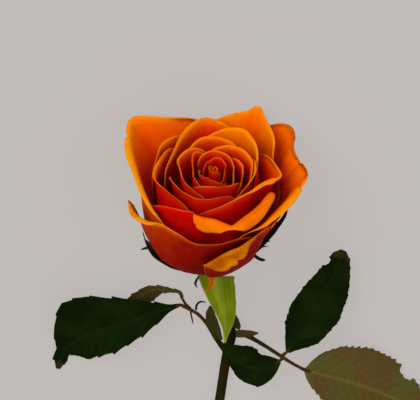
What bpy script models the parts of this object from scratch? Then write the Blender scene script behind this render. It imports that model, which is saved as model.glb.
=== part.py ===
"""A cut rose lying on a table: an open bloom on a bare stem with two compound leaves.

Metres, +Z up.  The stem runs along -Y with its cut end at the far end, and the bloom is at the +Y end,
its axis raised above the table.  Design tables are in millimetres and degrees.  The rose is first laid out
around the foot of the bloom's axis, then moved so that the origin is the middle of its footprint.

Bloom coordinates are azimuth, radius and height.  Azimuth 0 is +X, 90 points down to the table,
180 is -X and 270 is the side that faces up.  Height is measured along the bloom's axis from its foot.
"""
import math

import bmesh
import bpy
import numpy as np
from mathutils import Matrix, Vector

MM = 0.001
BLOOM_RISE = 35.0            # angle of the bloom's axis above the table
PETAL_THICKNESS = 0.30
SEPAL_THICKNESS = 0.55
LEAF_THICKNESS = 0.50
CONTACT_GAP = 0.30           # space kept between pieces that touch
CLAW_HEIGHT = 0.35           # height of the petals' lowest edge above the hip
CLAW_SPREAD = 0.28           # width of a petal's foot as a share of its full spread
FOOT_HEIGHT = 12.6           # height of the foot of the bloom's axis above the table
CUP_HEIGHT = 40.0            # height at which the cup of petals stands upright
CUP_FOOT_RADIUS = 6.5
CUP_RADIUS = 30.5
LAYER_GAP = 0.66             # distance between the middle surfaces of neighbouring petals
AZIMUTH_CELL = 3
HEIGHT_FLOOR = -12
HEIGHT_CELLS = 80
STEM_RADIUS = 2.1

# name, foot azimuth, foot radius, largest cup radius, flare of the rim beyond the cup,
# bend radius and bend angle of the lip, then rim points of (azimuth, radius, height, width of the
# turned-back lip)
PETALS = (
    ("heart_petal_1", 70, 0.8, 1.5, -4, 1.0, 40,
     ((-60, 0.8, 52, 0.4), (20, 1.1, 53, 0.4), (110, 0.8, 53, 0.4), (200, 0.9, 52, 0.4))),
    ("heart_petal_2", 225, 1.2, 2.9, -4, 1.0, 40,
     ((110, 2.4, 52, 0.4), (170, 2.2, 53.5, 0.4), (250, 2.0, 54, 0.4), (340, 2.2, 52, 0.4))),
    ("heart_petal_3", 55, 1.6, 5.6, -4, 1.0, 40,
     ((-75, 5.6, 50, 0.4), (-35, 4.4, 53, 0.4), (5, 4.5, 54, 0.4), (45, 4.9, 54, 0.4), (85, 5.5, 54, 0.4),
      (120, 4.9, 54, 0.4), (160, 4.2, 53.5, 0.4), (190, 4.2, 51, 0.4))),
    ("heart_petal_4", 240, 2.0, 6.8, -4, 1.0, 40,
     ((160, 6.0, 50, 0.4), (200, 6.0, 53, 0.6), (240, 5.6, 53, 0.6), (285, 6.4, 52, 0.6),
      (315, 7.0, 50, 0.4))),
    ("inner_petal_back", 50, 2.0, 8.4, -4, 1.0, 40,
     ((-50, 9.5, 49, 0.4), (-11, 7.6, 53, 0.4), (37, 8.0, 53, 0.5), (67, 9.4, 53, 0.5), (90, 9.8, 53, 0.5),
      (118, 9.3, 53, 0.4), (142, 8.5, 50, 0.4))),
    ("inner_petal_left", 175, 2.6, 9.6, -4, 1.0, 40,
     ((100, 11.5, 48, 0.4), (125, 12.6, 52, 0.5), (145, 10.5, 53, 0.5), (165, 9.0, 53, 0.5),
      (195, 8.6, 53, 0.5),
      (225, 9.5, 53, 0.5), (248, 9.8, 50, 0.4))),
    ("inner_petal_front", 275, 2.8, 9.8, -4, 1.0, 40,
     ((212, 12.0, 49, 0.4), (238, 9.8, 53, 0.5), (265, 9.0, 53, 0.5), (300, 9.2, 52.5, 0.5),
      (318, 10.0, 52, 0.5),
      (338, 10.5, 49, 0.4))),
    ("inner_petal_right", 5, 3.3, 9.8, -4, 1.0, 40,
     ((-42, 10.5, 49, 0.4), (-16, 10.2, 52, 0.6), (8, 10.6, 52.5, 0.8), (30, 10.6, 52.5, 0.6),
      (60, 10.6, 49, 0.4))),
    ("middle_petal_right", 45, 3.3, 13.4, -4, 1.2, 50,
     ((-12, 13.5, 47, 0.4), (10, 14.6, 50, 0.6), (25, 15.4, 51, 0.8), (45, 15.4, 52, 0.8),
      (65, 14.4, 52, 0.8),
      (84, 12.6, 52, 0.6), (98, 12.4, 50, 0.4))),
    ("middle_petal_left", 180, 3.9, 13.4, -4, 1.2, 50,
     ((102, 15.0, 48, 0.4), (122, 15.4, 51, 0.6), (150, 15.8, 51, 0.8), (175, 13.8, 52, 0.6),
      (205, 12.6, 52, 0.5),
      (228, 12.8, 52, 0.5), (252, 13.4, 50, 0.4))),
    ("middle_petal_back", 95, 3.9, 16.0, -4, 1.2, 50,
     ((44, 15.0, 47, 0.4), (62, 16.2, 51, 0.6), (78, 17.2, 52, 0.8), (92, 18.6, 52, 0.8),
      (105, 18.6, 51.5, 0.8),
      (120, 17.0, 51, 0.6), (142, 16.8, 48, 0.4))),
    ("middle_petal_front", 240, 4.3, 15.8, -4, 1.2, 50,
     ((172, 17.6, 47, 0.4), (195, 17.0, 50, 0.5), (215, 16.2, 51, 0.5), (240, 16.1, 52, 0.7),
      (262, 15.6, 52, 0.7),
      (285, 14.4, 52, 0.5), (305, 14.4, 49, 0.4))),
    ("middle_petal_lower_right", -25, 4.3, 13.0, -4, 1.2, 50,
     ((-85, 15.8, 48, 0.4), (-55, 14.4, 51, 0.6), (-25, 13.8, 51, 0.8), (5, 15.2, 51.5, 1.0),
      (22, 16.4, 50.5, 0.8),
      (40, 17.2, 47, 0.4))),
    ("middle_petal_upper_right", 55, 4.7, 20.0, -4, 1.4, 55,
     ((-6, 16.0, 45, 0.4), (12, 17.0, 49, 0.6), (27, 18.8, 50, 0.8), (40, 21.0, 51, 1.0),
      (52, 23.6, 51, 1.2),
      (64, 25.6, 51, 1.2), (76, 25.4, 50.5, 1.0), (88, 23.4, 49.5, 0.6), (108, 21.5, 46, 0.4))),
    ("outer_petal_right_tip", -30, 4.8, 17.0, 2, 1.8, 100,
     ((-114, 19.8, 45, 0.5), (-97, 18.6, 49, 1.0), (-66, 16.4, 51.5, 1.6), (-38, 16.4, 51.5, 2.4),
      (-16, 18.6, 50.5, 3.4), (-6, 21.8, 50, 3.4), (0, 25.2, 49, 1.4), (11, 24.7, 49, 0.8),
      (24, 23.6, 49, 0.6),
      (50, 22.4, 44, 0.4))),
    ("outer_petal_top", 110, 5.0, 22.0, -4, 1.4, 60,
     ((54, 27.0, 42, 0.4), (72, 28.0, 46.5, 0.6), (86, 30.2, 49, 1.0), (97, 31.6, 49.6, 1.2),
      (108, 28.6, 49.6, 1.6),
      (120, 24.6, 49.5, 1.6), (134, 21.6, 49, 1.4), (150, 20.0, 49, 1.0), (172, 19.8, 47, 0.6),
      (190, 19.6, 43, 0.4))),
    ("outer_petal_left", 185, 5.4, 23.0, -4, 1.4, 55,
     ((122, 23.4, 43, 0.4), (139, 23.4, 48, 0.6), (157, 22.8, 50, 1.0), (172, 23.4, 50, 1.2),
      (184, 23.6, 50, 1.2),
      (196, 22.0, 50, 1.0), (210, 20.6, 50, 0.8), (228, 20.0, 50, 0.6), (244, 20.2, 47, 0.4))),
    ("outer_petal_left_back", 140, 5.8, 25.0, -4, 1.4, 55,
     ((98, 26.0, 42, 0.4), (118, 25.8, 47.5, 0.6), (137, 26.6, 50, 0.8), (152, 25.6, 49, 0.6),
      (178, 25.0, 44, 0.4))),
    ("outer_petal_front", 285, 5.5, 20.5, 4, 2.0, 150,
     ((200, 26.5, 42, 0.5), (216, 25.2, 48, 0.5), (231, 22.0, 49, 0.6), (246, 20.2, 49, 0.8),
      (252, 20.1, 49, 6.5),
      (270, 21.2, 48, 9.4), (281, 24.0, 47.2, 6.0), (285, 25.2, 47, 3.0), (290, 24.6, 47.3, 5.6),
      (300, 23.3, 48, 7.2), (319, 22.2, 48, 6.4), (336, 21.8, 47.6, 5.0), (350, 21.4, 43, 0.5))),
    ("outer_petal_upper_tip", 62, 5.8, 28.0, -4, 1.4, 60,
     ((12, 26.5, 41, 0.4), (28, 26.6, 46, 0.6), (42, 31.5, 47, 1.0), (53, 36.0, 48, 1.0),
      (61, 40.6, 48.2, 0.8),
      (66, 44.2, 48.4, 0.5), (70, 40.8, 47.8, 0.6), (77, 37.6, 47.4, 0.8), (87, 35.0, 46, 0.6),
      (98, 34.0, 42, 0.4))),
    ("guard_petal_back", 92, 6.2, 29.5, -4, 1.4, 60,
     ((40, 30.0, 28, 0.4), (58, 31.5, 33, 0.6), (80, 31.5, 35, 0.8), (104, 31.5, 35, 0.8),
      (124, 31.0, 33, 0.6),
      (144, 30.0, 27, 0.4))),
    ("guard_petal_left", 165, 6.4, 29.5, -4, 2.2, 130,
     ((86, 36.0, 39, 0.4), (104, 37.0, 45.5, 0.6), (119, 41.5, 46, 0.9), (127, 45.6, 46, 1.2),
      (133, 48.6, 46, 1.6),
      (140, 44.6, 46, 2.2), (150, 38.6, 46, 3.2), (163, 32.8, 46.5, 3.6), (180, 29.6, 46.5, 3.8),
      (197, 28.2, 46, 3.8),
      (214, 28.0, 44.5, 3.0), (228, 28.2, 41.5, 1.0), (238, 28.4, 37, 0.4))),
    ("guard_petal_right", -8, 6.1, 22.5, 9, 2.2, 110,
     ((-82, 27.0, 37, 0.4), (-66, 27.2, 42.5, 0.8), (-44, 27.6, 44, 2.4), (-28, 28.8, 45, 3.4),
      (-12, 31.0, 45.5, 3.4),
      (-1, 34.2, 46, 2.2), (6, 36.8, 46.3, 0.8), (14, 35.8, 46.8, 0.8), (23, 34.6, 47, 0.8),
      (31, 36.0, 47, 0.8),
      (40, 41.0, 46.5, 1.0), (48, 42.6, 45.5, 1.0), (56, 40.0, 43.5, 0.6), (66, 36.5, 38, 0.4))),
    ("guard_petal_front_left", 245, 6.6, 28.5, 2, 2.0, 120,
     ((190, 32.4, 38, 0.4), (197, 35.4, 46.4, 0.5), (202, 34.8, 45, 2.4), (209, 34.0, 44.6, 3.4),
      (218, 31.4, 44.3, 3.6),
      (226, 28.2, 44, 1.0), (241, 28.8, 43.5, 0.7), (256, 31.0, 43, 0.7), (272, 30.6, 43, 0.6),
      (288, 28.6, 43, 0.5),
      (306, 27.0, 38, 0.4))),
    ("guard_petal_front_right", -55, 6.4, 23.5, 4, 0.9, 135,
     ((-29, 23.0, 36, 0.4), (-36, 25.0, 42, 0.5), (-46, 27.0, 44.3, 0.6), (-58, 29.6, 44.2, 0.6),
      (-67, 31.4, 44.2, 3.2), (-74, 31.7, 43.2, 8.2), (-81, 31.2, 41.6, 9.6), (-88, 30.6, 38.6, 9.8),
      (-94, 29.6, 35, 8.6), (-98, 27.5, 30.5, 2.4))),
)

# name, then points along the midrib of (azimuth, radius, height), half-widths on the two sides
# as (share of the length, width)
UPRIGHT_SEPALS = (
    ("sepal_left",
     ((209, 7.4, -0.8), (209, 12.6, 2.2), (208, 19, 7.4), (206, 25, 14), (203, 29.6, 20.5), (200, 31, 28)),
     ((0, 2.4), (0.2, 4.0), (0.5, 6.0), (0.75, 5.6), (0.9, 3.2), (1, 0.3)),
     ((0, 2.4), (0.2, 4.0), (0.5, 5.6), (0.75, 5.2), (0.9, 3.0), (1, 0.3))),
    ("sepal_right",
     ((-8, 7.4, -0.8), (-6, 12, 2.5), (-4, 17, 8.5), (-2, 21, 15.5), (0, 24, 24), (2, 25, 30)),
     ((0, 2.4), (0.2, 3.6), (0.5, 4.0), (0.8, 2.2), (1, 0.3)),
     ((0, 2.4), (0.2, 3.6), (0.28, 3.6), (0.32, 9.5), (0.37, 3.4), (0.5, 3.4), (0.53, 8.5), (0.57, 3.0),
      (0.64, 3.0), (0.67, 7.5), (0.71, 2.4), (0.9, 1.4), (1, 0.3))),
    ("sepal_back_left",
     ((128, 7.4, -0.8), (131, 11, 1.5), (138, 15, 5), (146, 18, 10), (154, 20, 15)),
     ((0, 2.2), (0.2, 3.4), (0.5, 3.6), (0.8, 1.8), (1, 0.3)),
     ((0, 2.2), (0.2, 3.4), (0.5, 3.6), (0.8, 1.8), (1, 0.3))),
    ("sepal_back_right",
     ((52, 7.4, -0.8), (49, 11, 1.5), (42, 15, 5), (34, 18, 10), (26, 20, 15)),
     ((0, 2.2), (0.2, 3.4), (0.5, 3.6), (0.8, 1.8), (1, 0.3)),
     ((0, 2.2), (0.2, 3.4), (0.5, 3.6), (0.8, 1.8), (1, 0.3))),
)

# name, thickness, fold angle, midrib points (x, y, z), half-widths on the left and on the right of the
# midrib,
# looking from foot to tip with the named side up; x and y are measured from the foot of the bloom's axis
BLADES = (
    ("sepal_front", SEPAL_THICKNESS, -12,
     ((1.4, -6.1, 20.2), (1.2, -9.0, 19.6), (2, -15, 18.2), (3.5, -22, 16.2), (4.5, -29, 14.5),
      (4.5, -37, 12.8)),
     ((0, 7.0), (0.22, 7.2), (0.44, 6.3), (0.63, 4.9), (0.78, 2.8), (0.9, 1.1), (1, 0.3)),
     ((0, 9.0), (0.1, 7.2), (0.22, 5.9), (0.44, 4.2), (0.63, 2.6), (0.78, 1.3), (0.9, 0.7), (1, 0.3))),
    ("leaflet_left_terminal", LEAF_THICKNESS, 12,
     ((-14.5, -20.5, 12), (-30, -25, 13.5), (-46, -31, 11.5), (-58, -37, 7.5), (-65, -44, 3.2),
      (-67.5, -52, 0.9)),
     ((0, 0.7), (0.06, 1.3), (0.15, 4.2), (0.3, 8.2), (0.5, 11.0), (0.7, 9.5), (0.84, 3.4), (0.92, 3.2),
      (1, 0.8)),
     ((0, 0.7), (0.06, 1.6), (0.15, 4.6), (0.3, 10.0), (0.5, 17.0), (0.65, 18.4), (0.76, 11.0), (0.86, 3.6),
      (0.93, 2.8), (1, 0.8))),
    ("leaflet_left_side", LEAF_THICKNESS, -20,
     ((-13.6, -18.0, 10.2), (-14.8, -15.8, 9.8), (-20, -15.0, 8.8), (-26, -15.6, 7.6), (-33, -19.6, 6),
      (-40, -27, 3.6)),
     ((0, 0.6), (0.15, 0.9), (0.3, 1.6), (0.5, 4.6), (0.7, 5.4), (0.9, 3.0), (1, 0.4)),
     ((0, 0.6), (0.15, 1.0), (0.3, 1.6), (0.5, 2.6), (0.7, 3.0), (0.9, 2.0), (1, 0.4))),
    ("leaflet_right_upper", LEAF_THICKNESS, 10,
     ((31, -41.2, 11.4), (38, -32, 12.5), (44, -20, 12.2), (50, -9, 10), (54.5, 2, 7)),
     ((0, 0.9), (0.08, 4.6), (0.22, 9.6), (0.4, 10.8), (0.6, 9.2), (0.82, 6.2), (0.95, 4.0), (1, 1.2)),
     ((0, 0.9), (0.08, 3.2), (0.22, 7.8), (0.45, 10.8), (0.65, 9.6), (0.85, 5.8), (0.95, 3.8), (1, 1.2))),
    ("leaflet_right_terminal", LEAF_THICKNESS, -10,
     ((38.6, -49.4, 11), (50, -53, 10), (62, -57, 8.2), (78, -64.5, 4.5), (96, -75, 1)),
     ((0, 0.9), (0.03, 4.6), (0.08, 8.6), (0.2, 14.0), (0.38, 16.5), (0.55, 15.5), (0.75, 10.5),
      (0.9, 5.0), (1, 0.4)),
     ((0, 0.9), (0.03, 3.8), (0.08, 7.0), (0.2, 12.2), (0.38, 15.5), (0.55, 15.0), (0.75, 10.5),
      (0.9, 5.0), (1, 0.4))),
    ("leaflet_right_lower", LEAF_THICKNESS, 12,
     ((28, -45.8, 10.6), (18.5, -49, 10.2), (9.5, -46, 9.4), (1, -37.5, 8.6)),
     ((0, 0.9), (0.1, 3.8), (0.32, 7.8), (0.5, 6.2), (0.68, 2.8), (0.85, 1.4), (1, 0.5)),
     ((0, 0.9), (0.1, 4.0), (0.32, 9.0), (0.5, 9.4), (0.68, 8.0), (0.8, 5.4), (0.92, 2.0), (1, 0.5))),
    ("stipule_left", LEAF_THICKNESS, 20,
     ((3.0, -36.4, 10.6), (1.0, -32, 11.6), (-1.2, -26.5, 12.6), (-1.8, -20.5, 13.5)),
     ((0, 0.6), (0.3, 1.8), (0.6, 2.6), (0.85, 2.0), (1, 0.4)),
     ((0, 0.6), (0.3, 1.8), (0.6, 2.4), (0.85, 1.6), (1, 0.3))),
    ("stipule_right_upper", LEAF_THICKNESS, 15,
     ((8.4, -31.6, 7.4), (8.9, -29.8, 9), (9.0, -27.6, 10.4), (8.8, -25.0, 11.2)),
     ((0, 2.6), (0.3, 2.4), (0.7, 1.3), (1, 0.3)),
     ((0, 2.6), (0.3, 2.4), (0.7, 1.3), (1, 0.3))),
    ("stipule_right_lower", LEAF_THICKNESS, 10,
     ((9.0, -34.2, 8.4), (12, -33.8, 9.4), (15, -33.6, 10.2), (18.6, -33.2, 10.8)),
     ((0, 1.6), (0.3, 1.7), (0.7, 1.4), (1, 0.3)),
     ((0, 1.6), (0.3, 1.7), (0.7, 1.4), (1, 0.3))),
)

# name, points (x, y, z, radius)
TUBES = (
    ("rachis_left",
     ((3.0, -40.0, 5.2, 1.1), (0.8, -37.0, 6.7, 1.0), (-3, -30, 8.8, 0.8), (-7, -25, 10.6, 0.75),
      (-10.5, -22.6, 11.6, 0.75), (-13.6, -20.9, 12, 0.75))),
    ("rachis_right",
     ((10.6, -35.6, 4.2, 1.3), (13.6, -35.6, 6.2, 1.1), (20.6, -38.8, 9, 0.85), (28.6, -43.6, 10.9, 0.8),
      (33, -46.4, 11.3, 0.7), (37.8, -49.1, 11.1, 0.7))),
)

# the stem below the bloom, (x, y, z, radius); z is that of its centre line
STEM_COURSE = (
    (3.0, -21, 3.4, 1.9), (5.6, -29, 2.7, 2.0), (6.9, -35.5, 2.7, 2.5), (5.8, -43, 2.6, 2.2),
    (4.4, -51, 2.5, 2.05),
    (2.2, -66, 2.4, 2.1), (-1, -85, 2.5, 2.1), (-2, -104, 3.0, 2.15), (-1.2, -112, 3.1, 2.7),
    (0.4, -120, 3.0, 2.2),
    (3, -142, 2.6, 2.2), (5, -166, 2.5, 2.25), (5, -188, 2.6, 2.3), (4, -197, 2.9, 2.9),
    (2.6, -206, 2.7, 2.35),
    (0, -232, 2.5, 2.4))
STEM_CUT_SLANT = 4.0         # the slant of the cut across the stem, along its length

# share of the way down the stem, angle around it (90 is up)
PRICKLES = ((0.30, 20), (0.37, 160), (0.52, 95), (0.66, 30), (0.74, 150), (0.90, 60))
PRICKLE_LENGTH = 4.2

HIP_PROFILE = ((2.0, -9.8), (3.0, -9.4), (4.4, -7.6), (5.3, -5.2), (5.4, -3.2), (5.8, -1.6), (6.6, -0.6),
               (6.4, 0.0))


def clear_scene():
    for item in list(bpy.data.objects):
        bpy.data.objects.remove(item, do_unlink=True)


def material(name, colour, roughness):
    """A plain opaque material of the given sRGB colour."""
    made = bpy.data.materials.new(name)
    made.use_nodes = True
    shader = made.node_tree.nodes["Principled BSDF"]
    linear = [(value / 255.0) ** 2.2 for value in colour]
    shader.inputs["Base Color"].default_value = (*linear, 1.0)
    shader.inputs["Roughness"].default_value = roughness
    shader.inputs["Metallic"].default_value = 0.0
    made.diffuse_color = (*linear, 1.0)
    return made


def through(points, count):
    """Even samples of the smooth curve that passes through the points."""
    points = np.array(points, dtype=float)
    steps = np.linalg.norm(np.diff(points, axis=0), axis=1)
    knots = np.concatenate([[0.0], np.cumsum(np.sqrt(steps))])
    slopes = np.gradient(points, knots, axis=0)
    fine = np.linspace(0.0, knots[-1], 40 * len(points))
    index = np.clip(np.searchsorted(knots, fine, side="right") - 1, 0, len(knots) - 2)
    width = (knots[index + 1] - knots[index])[:, None]
    t = ((fine - knots[index])[:, None]) / width
    curve = ((2 * t**3 - 3 * t**2 + 1) * points[index] + (t**3 - 2 * t**2 + t) * width * slopes[index]
             + (3 * t**2 - 2 * t**3) * points[index + 1] + (t**3 - t**2) * width * slopes[index + 1])
    travelled = np.concatenate([[0.0], np.cumsum(np.linalg.norm(np.diff(curve, axis=0), axis=1))])
    wanted = np.linspace(0.0, travelled[-1], count)
    return np.stack([np.interp(wanted, travelled, curve[:, axis]) for axis in range(points.shape[1])],
                    axis=1)


def unit(vectors):
    return vectors / np.maximum(np.linalg.norm(vectors, axis=-1, keepdims=True), 1e-9)


def cup_share(height_share):
    """How far the wall of a cup has spread at a share of its height: broad foot, upright rim."""
    return 1.0 - (1.0 - np.clip(height_share, 0.0, 1.0) ** 1.1) ** 3


def smooth_step(value):
    value = np.clip(value, 0.0, 1.0)
    return value * value * (3.0 - 2.0 * value)


def petal_body(foot_azimuth, foot_radius, cup_radius, flare, rim, rows):
    """Rows of points from the foot of a petal to its rim, in azimuth, radius and height."""
    share = np.linspace(0.0, 1.0, rows)[:, None] ** 1.15
    rim_azimuth, rim_radius, rim_height = rim[None, :, 0], rim[None, :, 1], rim[None, :, 2]
    height = CLAW_HEIGHT + (rim_height - CLAW_HEIGHT) * share
    upright = np.minimum(cup_radius, rim_radius - flare)
    radius = (foot_radius + (upright - foot_radius) * cup_share(height / CUP_HEIGHT)
              + (rim_radius - foot_radius - (upright - foot_radius) * cup_share(rim_height / CUP_HEIGHT)) * share**4)
    spread = CLAW_SPREAD + (1.0 - CLAW_SPREAD) * smooth_step(share / 0.5)
    azimuth = foot_azimuth + (rim_azimuth - foot_azimuth) * spread
    return azimuth + 0.0 * height, radius, height


def from_polar(azimuth, radius, height):
    angle = np.radians(azimuth)
    return np.stack([radius * np.cos(angle), radius * np.sin(angle), height + 0.0 * angle], axis=-1)


def add_lip(body, lip_width, bend_radius, bend_angle, rows):
    """Rows past the rim that bend outward and back, as wide as the lip at each place."""
    rim = body[-1]
    along_rim = unit(np.gradient(rim, axis=0))
    rising = unit(rim - body[-2])
    onward = unit(rising - (rising * along_rim).sum(axis=1, keepdims=True) * along_rim)
    outward = unit(np.cross(along_rim, onward))
    middle = rim * np.array([1.0, 1.0, 0.0])
    facing = np.sign((outward * middle).sum(axis=1).sum())
    outward = outward * facing
    turn = math.radians(bend_angle)
    for row in range(1, rows + 1):
        distance = lip_width * row / rows
        angle = np.minimum(distance / bend_radius, turn)
        straight = np.maximum(distance - bend_radius * turn, 0.0)
        forward = bend_radius * np.sin(angle) + straight * math.cos(turn)
        aside = bend_radius * (1.0 - np.cos(angle)) + straight * math.sin(turn)
        body = np.concatenate([body, (rim + forward[:, None] * onward + aside[:, None] * outward)[None]])
    return body


class Layers:
    """What the petals placed so far fill, seen from the bloom's axis.

    Radii are held as shares between an inner and an outer cup, so that a sloping wall is level in the record.
    """

    def __init__(self):
        self.filled = np.full((360 // AZIMUTH_CELL, HEIGHT_CELLS), -1.0)

    @staticmethod
    def inner(height):
        return 0.5 + 0.4 * cup_share(height / CUP_HEIGHT)

    @staticmethod
    def outer(height):
        return CUP_FOOT_RADIUS + (CUP_RADIUS - CUP_FOOT_RADIUS) * cup_share(height / CUP_HEIGHT)

    @staticmethod
    def spacing(height):
        """Radial distance between layers: closest at the foot, widest where the wall slopes most."""
        return LAYER_GAP * (0.85 + 0.55 * smooth_step(height / 4.0) - 0.4 * smooth_step((height - 6.0) / 22.0))

    def cells(self, points):
        azimuth = np.degrees(np.arctan2(points[..., 1], points[..., 0])) % 360.0
        column = np.floor(azimuth / AZIMUTH_CELL).astype(int) % self.filled.shape[0]
        row = np.clip(np.floor(points[..., 2]).astype(int) - HEIGHT_FLOOR, 0, HEIGHT_CELLS - 1)
        radius = np.hypot(points[..., 0], points[..., 1])
        span = self.outer(points[..., 2]) - self.inner(points[..., 2])
        return column, row, (radius - self.inner(points[..., 2])) / span, span

    def add(self, grid):
        column, row, share, _span = self.cells(subdivided(grid, 6))
        np.maximum.at(self.filled, (column, row), share)

    def pushed_out(self, grid):
        """The grid moved away from the axis just far enough to clear all that is placed already."""
        reach = self.filled.copy()
        for shift in (-1, 1):
            reach = np.maximum(reach, np.roll(self.filled, shift, axis=0))
        for shift in (-1, 1):
            reach = np.maximum(reach, np.roll(reach, shift, axis=1))
        detail = 4
        fine = subdivided(grid, detail)
        column, row, share, span = self.cells(fine)
        needed = reach[column, row] + self.spacing(fine[..., 2]) / span - share
        needed = np.where(reach[column, row] < 0.0, 0.0, np.maximum(needed, 0.0))
        push = np.zeros(grid.shape[:2])
        for i in range(grid.shape[0]):
            for j in range(grid.shape[1]):
                rows = slice(max(0, i * detail - detail // 2), i * detail + detail // 2 + 1)
                columns = slice(max(0, j * detail - detail // 2), j * detail + detail // 2 + 1)
                push[i, j] = needed[rows, columns].max()
        for _pass in range(3):
            wide = np.pad(push, 1, mode="edge")
            blurred = (wide[:-2, 1:-1] + wide[2:, 1:-1] + wide[1:-1, :-2] + wide[1:-1, 2:]) / 4.0
            push = np.maximum(push, blurred)
        _column, _row, _share, span = self.cells(grid)
        radius = np.maximum(np.hypot(grid[..., 0], grid[..., 1]), 1e-6)
        scale = 1.0 + push * span / radius
        return grid * np.stack([scale, scale, np.ones_like(scale)], axis=-1)


def subdivided(grid, detail):
    """The same surface with each cell split evenly."""
    rows = np.linspace(0, grid.shape[0] - 1, (grid.shape[0] - 1) * detail + 1)
    columns = np.linspace(0, grid.shape[1] - 1, (grid.shape[1] - 1) * detail + 1)
    low = np.minimum(rows.astype(int), grid.shape[0] - 2)
    part = (rows - low)[:, None, None]
    tall = grid[low] * (1 - part) + grid[low + 1] * part
    low = np.minimum(columns.astype(int), grid.shape[1] - 2)
    part = (columns - low)[None, :, None]
    return tall[:, low] * (1 - part) + tall[:, low + 1] * part


def petal_grid(petal):
    _name, foot_azimuth, foot_radius, cup_radius, flare, bend_radius, bend_angle, rim_points = petal
    widest_lip = max(point[3] for point in rim_points)
    columns = 9 if len(rim_points) < 8 else min(15, 2 * len(rim_points) - 5)
    rim = through(rim_points, columns)
    body = from_polar(*petal_body(foot_azimuth, foot_radius, cup_radius, flare, rim, 7))
    return add_lip(body, rim[:, 3], bend_radius, bend_angle, 1 if widest_lip < 2.0 else 2)


def blade_grid(midrib, left_widths, right_widths, fold, up, rows):
    """A leaf-like surface on both sides of a midrib; fold lifts its margins towards up."""
    spine = through(midrib, rows)
    forward = unit(np.gradient(spine, axis=0))
    side = unit(np.cross(np.broadcast_to(up, forward.shape), forward))
    top = unit(np.cross(forward, side))
    share = np.linspace(0.0, 1.0, rows)
    lift = math.tan(math.radians(fold))
    columns = []
    for offset in (-1.0, -0.55, 0.0, 0.55, 1.0):
        table = np.array(left_widths if offset > 0 else right_widths)
        width = np.interp(share, table[:, 0], table[:, 1]) * abs(offset)
        columns.append(spine + (np.sign(offset) * width)[:, None] * side + (width * lift)[:, None] * top)
    return np.stack(columns, axis=1)


def shell_object(name, grid, thickness, colour, roughness):
    """A closed sheet of even thickness around the grid, from millimetres to metres."""
    across = np.gradient(grid, axis=1)
    upward = np.gradient(grid, axis=0)
    normal = unit(np.cross(across, upward))
    rows, columns = grid.shape[:2]
    count = rows * columns
    sheets = np.concatenate([(grid + normal * thickness / 2).reshape(-1, 3),
                             (grid - normal * thickness / 2).reshape(-1, 3)]) * MM
    faces = []
    for i in range(rows - 1):
        for j in range(columns - 1):
            a, b = i * columns + j, i * columns + j + 1
            c, d = b + columns, a + columns
            faces.append((a, b, c, d))
            faces.append((a + count, d + count, c + count, b + count))
    edge = [j for j in range(columns)]
    edge += [i * columns + columns - 1 for i in range(1, rows)]
    edge += [(rows - 1) * columns + j for j in range(columns - 2, -1, -1)]
    edge += [i * columns for i in range(rows - 2, 0, -1)]
    for here, there in zip(edge, edge[1:] + edge[:1]):
        faces.append((here, here + count, there + count, there))
    return solid_object(name, sheets, faces, colour, roughness)


def solid_object(name, points, faces, colour, roughness):
    mesh = bpy.data.meshes.new(name)
    mesh.from_pydata([tuple(point) for point in points], [], faces)
    work = bmesh.new()
    work.from_mesh(mesh)
    bmesh.ops.triangulate(work, faces=work.faces[:])
    bmesh.ops.recalc_face_normals(work, faces=work.faces[:])
    if work.calc_volume(signed=True) < 0.0:
        bmesh.ops.reverse_faces(work, faces=work.faces[:])
    work.to_mesh(mesh)
    work.free()
    mesh.shade_smooth()
    mesh.materials.append(material(name + "_material", colour, roughness))
    made = bpy.data.objects.new(name, mesh)
    bpy.context.scene.collection.objects.link(made)
    return made


def tube_points(course, rings, sides):
    """Rings of points along a smooth course of (x, y, z, radius)."""
    path = through(course, rings)
    centre = path[:, :3]
    forward = unit(np.gradient(centre, axis=0))
    side = unit(np.cross(forward, np.array([0.0, 0.0, 1.0])))
    top = np.cross(side, forward)
    angles = np.linspace(0.0, 2 * math.pi, sides, endpoint=False)
    ring = np.cos(angles)[None, :, None] * side[:, None] + np.sin(angles)[None, :, None] * top[:, None]
    return centre[:, None] + ring * path[:, 3][:, None, None], centre, forward, side, top


def tube_object(name, rings, colour, roughness):
    count, sides = rings.shape[:2]
    points = np.concatenate([rings.reshape(-1, 3), rings[0].mean(axis=0)[None],
                             rings[-1].mean(axis=0)[None]]) * MM
    first, last = count * sides, count * sides + 1
    faces = []
    for i in range(count - 1):
        for j in range(sides):
            k = (j + 1) % sides
            faces.append((i * sides + j, i * sides + k, (i + 1) * sides + k, (i + 1) * sides + j))
    for j in range(sides):
        k = (j + 1) % sides
        faces.append((first, k, j))
        faces.append((last, (count - 1) * sides + j, (count - 1) * sides + k))
    return solid_object(name, points, faces, colour, roughness)


def build_petals():
    layers = Layers()
    made = []
    for petal in PETALS:
        grid = layers.pushed_out(petal_grid(petal))
        layers.add(grid)
        outer = petal[0].startswith(("guard", "outer"))
        colour = (226, 92, 4) if outer else (214, 62, 3)
        made.append(shell_object(petal[0], grid, PETAL_THICKNESS, colour, 0.55))
    for name, course, left, right in UPRIGHT_SEPALS:
        azimuth, radius, height = np.array(course, dtype=float).T
        spine = from_polar(azimuth, radius, height)
        out = unit(spine * np.array([1.0, 1.0, 0.0]))
        grid = blade_grid(spine, left, right, 0.0, out[len(out) // 2] * 0.6 - np.array([0.0, 0.0, 0.8]), 13)
        grid = layers.pushed_out(grid)
        layers.add(grid)
        made.append(shell_object(name, grid, SEPAL_THICKNESS, (52, 66, 14), 0.6))
    return made


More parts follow.
